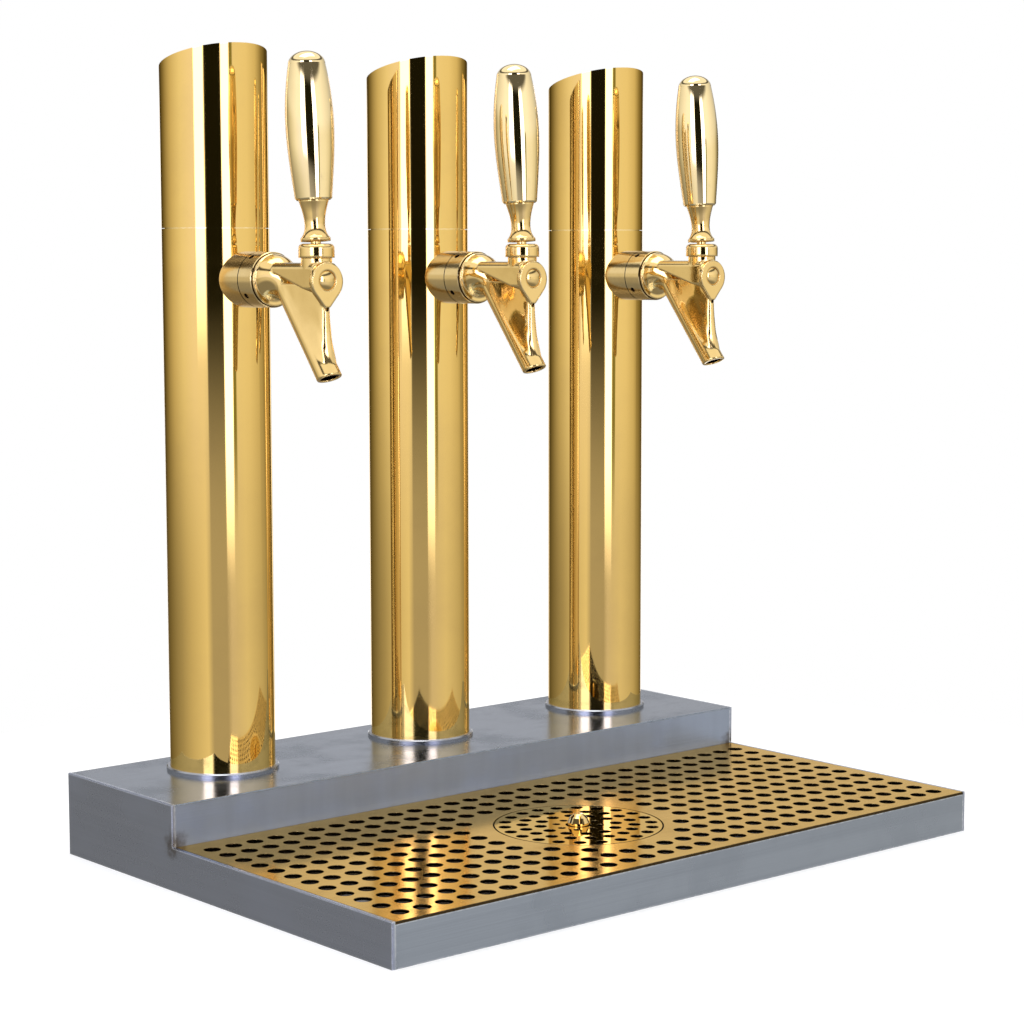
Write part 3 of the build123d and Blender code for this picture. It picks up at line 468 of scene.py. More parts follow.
@dataclass(frozen=True)
class WeldedSteelFinish(MetalFinish):
    """Brushed sheet with heat tint at its welded corners.

    Attributes:
        weld_places: Middles of the heat-tinted spots.
        weld_reach: How far the tint spreads from each.
        heat_core: Share of the reach up to which the tint is full.
        heat_end: Share of the reach at which it has faded, noise included.
        heat_strength: The tint's greatest strength.
        heat_colour: The tint's colour.
        ragged_scale: Scale of the noise that makes its edge ragged, per metre.
    """

    weld_places: tuple[Point, ...] = ()
    weld_reach: float = 0.014
    heat_core: float = 0.5
    heat_end: float = 1.4
    heat_strength: float = 0.85
    heat_colour: Colour = (0.10, 0.075, 0.05)
    ragged_scale: float = 240.0

    def stains_and_painted_light(self, desk: NodeDesk, colour: Socket) -> Socket:
        """Darken the colour round the welds.

        Args:
            desk: The material's node desk.
            colour: The metal's colour.

        Returns:
            The stained colour's socket.
        """
        place = desk.object_place()
        core = self.weld_reach * self.heat_core
        end = self.weld_reach * self.heat_end
        for weld in self.weld_places:
            noise = desk.noise(place, self.ragged_scale, 3.0)
            ragged = desk.math("MULTIPLY_ADD", noise, self.weld_reach, desk.distance(place, weld))
            spot = desk.ranged(ragged, core, end, self.heat_strength, 0.0)
            colour = desk.mixed(spot, colour, self.heat_colour)
        return colour


@dataclass(frozen=True)
class StepSteelFinish(WeldedSteelFinish):
    """The riser's sheet, whose front wall stands over the grille and carries a painted reflection.

    Attributes:
        wall_place: Y of the front wall and Z of its upper edge.
        wall_reflection_colour: Colour of the painted reflection on the front wall.
        wall_dullness: Roughness that the wall has more than the top.
        wall_skin: How far behind the wall's face its painted reflection reaches.
        edge_band: How far below its upper edge the painted reflection starts to fade and has faded.
        streak_scale: Stretch of the streaks in the painted reflection, per metre.
        faint_streak: Strength of the painted reflection where it is faintest.
    """

    wall_place: Pair = (0.0, 0.0)
    wall_reflection_colour: Colour = (0.345, 0.39, 0.485)
    wall_dullness: float = 0.16
    wall_skin: float = 0.0008
    edge_band: Pair = (0.0016, 0.0006)
    streak_scale: Point = (90.0, 1.0, 12.0)
    faint_streak: float = 0.86

    def on_wall(self, desk: NodeDesk) -> Socket:
        """Find the front wall.

        Args:
            desk: The material's node desk.

        Returns:
            The socket of a mask of the wall.
        """
        wall_y, edge_z = self.wall_place
        place = desk.parts(desk.object_place())
        front = desk.fading(place["Y"], wall_y + self.wall_skin, wall_y + 2 * self.wall_skin)
        fade_start, fade_end = self.edge_band
        below = desk.fading(place["Z"], edge_z - fade_start, edge_z - fade_end)
        return desk.math("MULTIPLY", front, below)

    def dull(self, desk: NodeDesk, roughness: Socket) -> Socket:
        """Make the front wall duller than the top."""
        return desk.math("MULTIPLY_ADD", self.on_wall(desk), self.wall_dullness, roughness)

    def stains_and_painted_light(self, desk: NodeDesk, colour: Socket) -> Socket:
        """Paint a bluish reflection on the front wall, then darken the colour round the welds.

        Args:
            desk: The material's node desk.
            colour: The metal's colour.

        Returns:
            The stained colour's socket.
        """
        streak = desk.noise(desk.stretched(desk.object_place(), self.streak_scale), 1.0, 2.0)
        strength = desk.ranged(streak, 0.3, 0.7, 1.0, self.faint_streak)
        wall_reflection_share = desk.math("MULTIPLY", self.on_wall(desk), strength)
        return super().stains_and_painted_light(desk, desk.mixed(wall_reflection_share, colour, self.wall_reflection_colour))


@dataclass(frozen=True)
class PerforatedFinish(MetalFinish):
    """Sheet metal with painted shade on its upright hole walls.

    Attributes:
        hole_shade_colour: Colour of the painted shade on the upright hole walls.
        wall_tilt: A face is a wall up to the first Z of its normal, and flat from the second.
    """

    hole_shade_colour: Colour = (0.05, 0.032, 0.014)
    wall_tilt: Pair = (0.75, 0.95)

    def stains_and_painted_light(self, desk: NodeDesk, colour: Socket) -> Socket:
        """Paint shade on the upright walls of the holes."""
        level = desk.math("ABSOLUTE", desk.parts(desk.add("NewGeometry").outputs["True Normal"])["Z"])
        return desk.mixed(desk.fading(level, *self.wall_tilt), colour, self.hole_shade_colour)


@dataclass(frozen=True)
class RecessedFinish(MetalFinish):
    """Metal with painted shade near its round pieces' axes, as in a nut's holes or a vent.

    Attributes:
        axes: X and Z of the axes, which lie along Y.
        floor_radius: Below this distance from an axis the metal gets painted shade.
        floor_fade: Over this distance the painted shade fades there.
        rear: The painted shade ends at this Y.
        rear_fade: Over this distance it fades there.
        recess_shade: Colour of the painted shade.
    """

    axes: tuple[Pair, ...] = ()
    floor_radius: float = 0.019
    floor_fade: float = 0.0002
    rear: float = 1.0
    rear_fade: float = 0.0005
    recess_shade: Colour = (0.05, 0.03, 0.012)

    def paint_recess_shade(self, desk: NodeDesk, colour: Socket) -> Socket:
        """Paint shade on what lies near the axes.

        Args:
            desk: The material's node desk.
            colour: The metal's colour.

        Returns:
            The stained colour's socket.
        """
        place = desk.object_place()
        flat = desk.stretched(place, (1.0, 0.0, 1.0))
        nearest = 1.0
        for x, z in self.axes:
            nearest = desk.math("MINIMUM", desk.distance(flat, (x, 0.0, z)), nearest)
        deep = desk.fading(nearest, self.floor_radius - self.floor_fade, self.floor_radius)
        ahead = desk.fading(desk.parts(place)["Y"], self.rear - self.rear_fade, self.rear)
        return desk.mixed(desk.math("MULTIPLY", deep, ahead), colour, self.recess_shade)


@dataclass(frozen=True)
class PlainFinish:
    """A rubber or plastic finish.

    Attributes:
        name: The material's name.
        colour: Its colour.
        dusty_colour: Its colour where it is dusty or rubbed.
        roughness: Its roughness where it is clean.
        dusty_gain: Roughness that dust adds.
        dust_size: Scale of the dusty patches, per metre.
        relief: Strength of its fine relief.
        relief_scale: Scale of that relief, per metre.
        relief_depth: Depth of that relief.
    """

    name: str
    colour: Colour
    dusty_colour: Colour
    roughness: float
    dusty_gain: float = 0.15
    dust_size: float = 60.0
    relief: float = 0.1
    relief_scale: float = 1400.0
    relief_depth: float = 0.0004

    def build(self, effects: Effects) -> bpy.types.Material:
        """Build the material.

        Args:
            effects: The shared node groups.

        Returns:
            The finished material.
        """
        material, desk, shader = new_material(self.name)
        dusty = self.roughness + self.dusty_gain
        handling = effects.handled(desk, self.roughness, dusty, self.dust_size)
        height = desk.noise(desk.object_place(), self.relief_scale, 2.0)
        relief = {"Strength": self.relief, "Distance": self.relief_depth, "Height": height}
        desk.feed(
            shader,
            {
                "Base Color": desk.mixed(handling["Dulling"], self.colour, self.dusty_colour),
                "Roughness": handling["Roughness"],
                "Normal": desk.add("Bump", relief).outputs["Normal"],
            },
        )
        return material


# ---- drilled plates
@dataclass
class DrilledPlate:
    """A flat sheet with round holes, made from its outline and hole rims.

    Attributes:
        name: The piece's name.
        node: The CAD node that it stands for.
        slot: The record's material slot; not used.
        body: The body that it rides on.
        finish: Its material.
        hole_sides: Corners of each drilled hole.
        edge_break: Width of the broken edges.
        break_angle: Edges sharper than this are broken.
        smooth_angle: Faces that meet at less than this are shaded smooth.
    """

    name: str
    node: str
    slot: str
    body: str
    finish: bpy.types.Material
    hole_sides: int = 22
    edge_break: float = 0.00025
    break_angle: float = 50.0
    smooth_angle: float = 35.0

    def build(self) -> Piece:
        """Make the plate and dress it.

        Returns:
            The finished plate.
        """
        low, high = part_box(self.node)
        plate = join_pieces(self.rims(high.z))
        plate.name = self.name
        plate.data.name = self.name
        settle(plate)
        self.fill_and_thicken(plate, high.z - low.z)
        bevel = plate.modifiers.new("edge_break", "BEVEL")
        bevel.width = self.edge_break
        bevel.segments = 1
        bevel.limit_method = "ANGLE"
        bevel.angle_limit = math.radians(self.break_angle)
        apply_modifiers(plate)
        bpy.ops.object.shade_smooth_by_angle(angle=math.radians(self.smooth_angle))
        plate.data.materials.clear()
        plate.data.materials.append(self.finish)
        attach(plate, self.body)
        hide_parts(self.node)
        return plate

    def rims(self, height: float) -> list[Piece]:
        """Make the outline and every hole's rim at one height; each plate has its own."""
        raise NotImplementedError

    @staticmethod
    def circle(x: float, y: float, height: float, radius: float, sides: int) -> Piece:
        """Make one rim.

        Args:
            x: Its middle's X.
            y: Its middle's Y.
            height: Its Z.
            radius: Its radius.
            sides: Its number of corners.

        Returns:
            The rim, a ring of edges.
        """
        deselect_all()
        bpy.ops.mesh.primitive_circle_add(vertices=sides, radius=radius, location=(x, y, height))
        return bpy.context.object

    @staticmethod
    def fill_and_thicken(plate: Piece, thickness: float) -> None:
        """Fill the sheet between its rims and give it its thickness.

        Args:
            plate: The joined rims.
            thickness: How far the sheet reaches down.
        """
        make_active(plate)
        bpy.ops.object.mode_set(mode="EDIT")
        bpy.ops.mesh.select_all(action="SELECT")
        bpy.ops.mesh.fill(use_beauty=True)
        bpy.ops.mesh.select_all(action="SELECT")
        bpy.ops.mesh.extrude_region_move(TRANSFORM_OT_translate={"value": (0.0, 0.0, -thickness)})
        bpy.ops.mesh.select_all(action="SELECT")
        bpy.ops.mesh.normals_make_consistent(inside=False)
        bpy.ops.object.mode_set(mode="OBJECT")


@dataclass
class DripGrille(DrilledPlate):
    """The grille: rows of holes, left out round the rinser's opening.

    Attributes:
        columns: Holes along X.
        rows: Holes along Y.
        pitch_x: Spacing along X.
        pitch_y: Spacing along Y.
        front_margin: From the front edge to the first row.
        hole_radius: Radius of a hole.
        opening_gap: From the rinser's disc to the opening's edge.
        plain_margin: Plain ring round the opening.
        opening_sides: Corners of the opening.
    """

    columns: int = 30
    rows: int = 12
    pitch_x: float = 0.0175
    pitch_y: float = 0.01875
    front_margin: float = 0.0154
    hole_radius: float = 0.0058
    opening_gap: float = 0.0008
    plain_margin: float = 0.0059
    opening_sides: int = 144

    def first_hole(self) -> Pair:
        """Give X and Y of the first row's first hole."""
        low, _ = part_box(self.node)
        return -(self.columns - 1) / 2 * self.pitch_x, low.y + self.front_margin

    def rims(self, height: float) -> list[Piece]:
        """Make the outline, the opening and the rows of holes.

        Args:
            height: Z of the sheet's top.

        Returns:
            The rims to be joined.
        """
        disc_low, disc_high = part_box("rinser_disc")
        x, y, _ = middle_of("rinser_disc")
        opening = (disc_high.x - disc_low.x) / 2 + self.opening_gap
        outline = self.outline(height)
        mouth = self.circle(x, y, height, opening, self.opening_sides)
        holes = self.circle(*self.first_hole(), height, self.hole_radius, self.hole_sides)
        steps = ((self.columns, (self.pitch_x, 0.0, 0.0)), (self.rows, (0.0, self.pitch_y, 0.0)))
        for count, step in steps:
            row = holes.modifiers.new("row", "ARRAY")
            row.use_relative_offset = False
            row.use_constant_offset = True
            row.constant_offset_displace = step
            row.count = count
        apply_modifiers(holes)
        settle(holes)
        self.leave_out(holes, x, y, opening + self.plain_margin + self.hole_radius)
        return [outline, mouth, holes]

    def outline(self, height: float) -> Piece:
        """Make the sheet's rectangle of edges.

        Args:
            height: Z of the sheet's top.

        Returns:
            The rectangle.
        """
        low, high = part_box(self.node)
        x, y, _ = middle_of(self.node)
        deselect_all()
        bpy.ops.mesh.primitive_plane_add(size=1.0, location=(x, y, height))
        outline = bpy.context.object
        outline.scale = (high.x - low.x, high.y - low.y, 1.0)
        settle(outline)
        bpy.ops.object.mode_set(mode="EDIT")
        bpy.ops.mesh.select_all(action="SELECT")
        bpy.ops.mesh.delete(type="ONLY_FACE")
        bpy.ops.object.mode_set(mode="OBJECT")
        return outline

    def leave_out(self, holes: Piece, x: float, y: float, reach: float) -> None:
        """Delete the holes whose middle lies inside the plain ring.

        Args:
            holes: All the rims of the rows.
            x: Middle of the opening.
            y: Middle of the opening.
            reach: Radius within which no hole's middle may lie.
        """
        first_x, first_y = self.first_hole()
        make_active(holes)
        bpy.ops.object.mode_set(mode="EDIT")
        bpy.ops.mesh.select_all(action="DESELECT")
        shape = bmesh.from_edit_mesh(holes.data)
        for corner in shape.verts:
            column = round((corner.co.x - first_x) / self.pitch_x)
            row = round((corner.co.y - first_y) / self.pitch_y)
            apart = math.hypot(first_x + column * self.pitch_x - x, first_y + row * self.pitch_y - y)
            corner.select = apart <= reach
        shape.select_flush(True)
        bmesh.update_edit_mesh(holes.data)
        bpy.ops.mesh.delete(type="VERT")
        bpy.ops.object.mode_set(mode="OBJECT")


@dataclass
class RinserDisc(DrilledPlate):
    """The rinser's disc: rings of holes round the nozzle's opening.

    Attributes:
        rings: Radius, count and hole radius of each ring.
        nozzle_hole_radius: Radius of the middle opening.
        nozzle_hole_sides: Corners of the middle opening.
        rim_sides: Corners of the disc's rim.
    """

    rings: tuple[tuple[float, int, float], ...] = (
        (0.0524, 22, 0.0043),
        (0.0396, 18, 0.0043),
        (0.0272, 12, 0.0043),
        (0.0156, 8, 0.0027),
    )
    nozzle_hole_radius: float = 0.009
    nozzle_hole_sides: int = 48
    rim_sides: int = 144

    def rims(self, height: float) -> list[Piece]:
        """Make the rim, the middle opening and the rings of holes.

        Args:
            height: Z of the disc's top.

        Returns:
            The rims to be joined.
        """
        low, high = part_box(self.node)
        x, y, _ = middle_of(self.node)
        made = [self.circle(x, y, height, (high.x - low.x) / 2, self.rim_sides)]
        made.append(self.circle(x, y, height, self.nozzle_hole_radius, self.nozzle_hole_sides))
        for reach, count, radius in self.rings:
            for index in range(count):
                turn = 2 * math.pi * index / count
                hole_x = x + reach * math.cos(turn)
                hole_y = y + reach * math.sin(turn)
                made.append(self.circle(hole_x, hole_y, height, radius, self.hole_sides))
        return made


# ---- studio
@dataclass(frozen=True)
class WallLevel:
    """One level of the walls that the metal mirrors.

    Attributes:
        foot: Elevation where the level below ends.
        full: Elevation from which this level is full.
        stops: Azimuth from the camera's side, brightness and blueness.
    """

    foot: float
    full: float
    stops: tuple[Stop, ...]


@dataclass(frozen=True)
class Panel:
    """One soft-edged upright panel in front of the walls, bright or dark.

    Attributes:
        middle: Azimuth of its middle from the camera's side.
        half_width: Half its width.
        side_fade: Width of its soft sides.
        foot: Elevation at which it starts to show.
        full: Elevation from which it is full.
        head: Elevation from which it ends.
        level: Its brightness.
        blue: Its blueness.
        head_fade: Width of its soft upper end.
    """

    middle: float
    half_width: float
    side_fade: float
    foot: float
    full: float
    head: float
    level: float
    blue: float = 1.0
    head_fade: float = 1.5

    def mask(self, desk: NodeDesk, azimuth: Socket, elevation: Socket) -> Socket:
        """Find where the panel stands in the surroundings.

        Args:
            desk: The world's node desk.
            azimuth: Azimuth from the camera's side.
            elevation: Height above the horizon.

        Returns:
            A mask, 1 on the panel.
        """
        apart = desk.math("ABSOLUTE", desk.math("SUBTRACT", azimuth, self.middle))
        inner = self.half_width - self.side_fade / 2
        sides = desk.fading(apart, inner, inner + self.side_fade)
        above = desk.ranged(elevation, self.foot, self.full)
        below = desk.fading(elevation, self.head, self.head + self.head_fade)
        return desk.math("MULTIPLY", desk.math("MULTIPLY", sides, above), below)


@dataclass(frozen=True)
class Cover:
    """What lies above or below the walls, all round.

    Attributes:
        start: Elevation at which it starts to show.
        full: Elevation from which it is full.
        level: Its brightness.
    """

    start: float
    full: float
    level: float


WALL_LEVELS = (
    WallLevel(
        -90.0,
        -90.0,
        (
            (-180.0, 0.14, 0.8), (-150.0, 0.15, 0.8), (-118.0, 0.30, 0.85), (-90.0, 0.46, 0.88),
            (-60.0, 0.72, 0.90), (-25.0, 0.96, 0.95), (-13.0, 0.54, 1.1), (18.0, 0.54, 1.1),
            (28.0, 0.78, 1.2), (63.0, 0.90, 1.0), (108.0, 0.64, 0.9), (150.0, 0.20, 0.8),
        ),
    ),
    WallLevel(
        -9.0,
        -0.5,
        (
            (-180.0, 0.14, 0.4), (-150.0, 0.08, 0.4), (-130.0, 0.30, 0.7), (-100.0, 0.78, 0.82),
            (-72.0, 1.07, 1.0), (-45.0, 1.17, 1.2), (45.0, 1.08, 1.0), (78.0, 1.05, 0.92),
            (104.0, 0.84, 0.80), (126.0, 0.34, 0.6), (150.0, 0.08, 0.5),
        ),
    ),
    WallLevel(
        4.0,
        10.0,
        (
            (-180.0, 0.84, 1.05), (-145.0, 0.58, 1.0), (-110.0, 0.90, 1.0), (-60.0, 1.22, 1.05),
            (60.0, 1.22, 1.05), (110.0, 0.90, 1.0), (145.0, 0.58, 1.0),
        ),
    ),
)
PANELS = (
    Panel(2.0, 17.5, 3.5, -9.0, -0.8, 90.0, 0.012, 0.5),
    Panel(-27.5, 10.5, 2.5, -2.9, 0.6, 90.0, 4.2, 1.25),
    Panel(28.5, 8.5, 2.5, -8.0, -4.0, 90.0, 4.2, 1.3),
    Panel(41.5, 3.5, 3.0, -7.0, -4.0, 8.0, 0.30, 0.4),
    Panel(0.0, 75.0, 12.0, 52.0, 60.0, 86.0, 2.6, 1.3),
    Panel(168.0, 3.0, 2.0, -30.0, -20.0, 3.0, 2.4),
    Panel(-168.0, 3.0, 2.0, -30.0, -20.0, 3.0, 2.4),
)
COVERS = (
    Cover(23.0, 27.0, 0.13),
    Cover(33.0, 39.0, 1.15),
    Cover(56.0, 66.0, 1.1),
    Cover(-15.0, -32.0, 0.28),
)


@dataclass
class Studio:
    """The pale floor, the soft surroundings with their reflector strips, and the camera.

    Attributes:
        camera_place: Where the camera stands.
        camera_pitch: Its angle below the horizon.
        camera_yaw: Its turn from +Y towards +X.
        camera_roll: Its roll.
        focal_pixels: Focal length in pixels of the image.
        image_width: Width of the image in pixels.
        sensor_width: Width of the sensor in millimetres.
        facing: Azimuth from the tower back to the camera.
        floor_radius: Radius of the round floor.
        floor_sides: Corners of the floor.
        floor_colours: The two colours that cloud over the floor.
        floor_glow: Light that the camera alone sees on the floor, to make it white.
        lamp_place: Where the lamp hangs.
        lamp_size: Its length and width.
        lamp_energy: Its power in watts.
        walls: Rings of the surroundings that the metal mirrors, from the ground up.
        panels: What stands in front of the walls.
        ceiling: What lies above and below them.
        even_heights: Sines of the elevations between which the even light rises.
        even_levels: The even light's brightness at those two.
        warm_green: How far a warm stop's green follows its blue.
    """

    camera_place: Point = (-1.1500, -1.32307, 0.4340)
    camera_pitch: float = 6.163
    camera_yaw: float = 40.698
    camera_roll: float = 0.083
    focal_pixels: float = 2426.17
    image_width: float = 1024.0
    sensor_width: float = 36.0
    facing: float = 231.5
    floor_radius: float = 0.62
    floor_sides: int = 96
    floor_colours: tuple[Colour, Colour] = ((0.52, 0.52, 0.525), (0.56, 0.56, 0.56))
    floor_glow: float = 0.52
    lamp_place: Point = (-0.1, 0.1, 2.4)
    lamp_size: Pair = (1.8, 1.2)
    lamp_energy: float = 18.0
    walls: tuple[WallLevel, ...] = WALL_LEVELS
    panels: tuple[Panel, ...] = PANELS
    ceiling: tuple[Cover, ...] = COVERS
    even_heights: Pair = (-0.2, 0.9)
    even_levels: Pair = (0.80, 1.05)
    warm_green: float = 0.25

    def build(self) -> None:
        """Make the camera, the floor, the lamp and the surroundings."""
        self.place_camera()
        self.lay_floor()
        self.hang_lamp()
        self.paint_surroundings()
        bpy.context.scene.view_settings.view_transform = "Standard"

    def place_camera(self) -> None:
        """Make the camera and make it the scene's."""
        data = bpy.data.cameras.new("studio_camera")
        data.sensor_width = self.sensor_width
        data.lens = self.focal_pixels / self.image_width * self.sensor_width
        camera = bpy.data.objects.new("studio_camera", data)
        bpy.context.scene.collection.objects.link(camera)
        camera.location = self.camera_place
        turns = (90 - self.camera_pitch, self.camera_roll, -self.camera_yaw)
        camera.rotation_euler = [math.radians(turn) for turn in turns]
        bpy.context.scene.camera = camera

    def lay_floor(self) -> None:
        """Make the pale floor, which shows white to the camera and keeps the shadow."""
        deselect_all()
        bpy.ops.mesh.primitive_circle_add(
            vertices=self.floor_sides, radius=self.floor_radius, fill_type="NGON"
        )
        floor = bpy.context.object
        floor.name = "studio_floor"
        material, desk, shader = new_material("pale_floor")
        cloud = desk.noise(desk.object_place(), 6.0, 3.0)
        path = desk.add("LightPath")
        glow = desk.math("MULTIPLY", path.outputs["Is Camera Ray"], self.floor_glow)
        desk.feed(
            shader,
            {
                "Base Color": desk.mixed(cloud, *self.floor_colours),
                "Roughness": 0.85,
                "Specular IOR Level": 0.15,
                "Emission Color": WHITE,
                "Emission Strength": glow,
            },
        )
        floor.data.materials.append(material)
        floor.visible_glossy = False

    def hang_lamp(self) -> None:
        """Hang one wide soft lamp above the tower."""
        data = bpy.data.lights.new("overhead_softbox", "AREA")
        data.shape = "RECTANGLE"
        data.size, data.size_y = self.lamp_size
        data.energy = self.lamp_energy
        lamp = bpy.data.objects.new("overhead_softbox", data)
        bpy.context.scene.collection.objects.link(lamp)
        lamp.location = self.lamp_place

    def ring_ramp(self, desk: NodeDesk, angle: Socket, stops: tuple[Stop, ...]) -> Socket:
        """Paint one level of the surroundings round the tower.

        Args:
            desk: The world's node desk.
            angle: Azimuth from the camera's side, from 0 to 1.
            stops: Angle in degrees, brightness and blueness of each stop.

        Returns:
            The ring's colour.
        """
        ramp = desk.add("ValToRGB", {"Fac": angle})
        elements = ramp.color_ramp.elements
        brightest = max(level for _, level, _ in stops)
        first, *others = stops
        for element in elements:
            element.color = self.ring_colour(first[1] / brightest, first[2])
        for place, level, blue in others:
            element = elements.new((place + 180.0) / 360.0)
            element.color = self.ring_colour(level / brightest, blue)
        scale = {0: ramp.outputs["Color"], "Scale": brightest}
        return desk.add("VectorMath", scale, operation="SCALE").outputs["Vector"]

    def ring_colour(self, share: float, blue: float) -> tuple[float, float, float, float]:
        """Give a stop's colour from its share of the brightest level and its blueness."""
        green = 1.0 - self.warm_green + self.warm_green * min(blue, 1.0)
        return rgba((share, share * green, share * blue))

    def paint_surroundings(self) -> None:
        """Make the world: white to the camera, a plain soft light, and strips for the metal."""
        world = bpy.data.worlds.new("studio_surroundings")
        bpy.context.scene.world = world
        world.use_nodes = True
        desk = NodeDesk(world.node_tree)
        background = world.node_tree.nodes["Background"].inputs
        direction = desk.parts(desk.add("TexCoord").outputs["Generated"])
        azimuth = desk.math("ARCTAN2", direction["Y"], direction["X"])
        turned = desk.math("SUBTRACT", azimuth, math.radians(self.facing))
        angle = desk.math("WRAP", turned, math.pi, -math.pi)
        share = desk.math("MULTIPLY_ADD", angle, 0.5 / math.pi, 0.5)
        height = direction["Z"]
        degrees = desk.math("MULTIPLY", angle, math.degrees(1.0))
        elevation = desk.math("MULTIPLY", desk.math("ARCSINE", height), math.degrees(1.0))
        ground, *levels = self.walls
        seen = self.ring_ramp(desk, share, ground.stops)
        for level in levels:
            ring = self.ring_ramp(desk, share, level.stops)
            seen = desk.mixed(desk.ranged(elevation, level.foot, level.full), seen, ring)
        for panel in self.panels:
            colour = (panel.level, panel.level, panel.level * panel.blue)
            seen = desk.mixed(panel.mask(desk, degrees, elevation), seen, colour)
        for cover in self.ceiling:
            seen = desk.mixed(desk.ranged(elevation, cover.start, cover.full), seen, (cover.level,) * 3)
        path = desk.add("LightPath")
        low, high = ((level,) * 3 for level in self.even_levels)
        even = desk.mixed(desk.ranged(height, *self.even_heights), low, high)
        lit = desk.mixed(path.outputs["Is Glossy Ray"], even, seen)
        clear = desk.math("MAXIMUM", path.outputs["Is Camera Ray"], path.outputs["Is Transmission Ray"])
        desk.feed(background, {"Color": desk.mixed(clear, lit, WHITE)})


# ---- the tower
FINISH_BY_START = {
    "column_": "column_brass",
    "end_panel": "end_steel",
    "rinser_nozzle": "dome_brass",
    "riser_cover": "step_steel",
    "drip_grille": "plate_brass",
    "rinser_disc": "disc_brass",
    # The basin and the rinser valve get near-black painted shade, as they lie under the drilled plates.
    "drip_basin": "basin_painted_shade",
    "rinser_valve": "basin_painted_shade",
    "foot_ring": "bead_steel",
    "handle": "handle_brass",
    "coupling_nut": "nut_brass",
    "tap_body": "casting_brass",
}
FINISH_BY_SLOT = {
    "polished_brass": "tap_brass",
    "satin_brass": "turned_brass",
    "brushed_stainless": "sheet_steel",
    "plain_stainless": "inner_steel",
    "spring_wire": "spring_steel",
    "rubber": "seal_rubber",
    "friction_plastic": "washer_plastic",
}


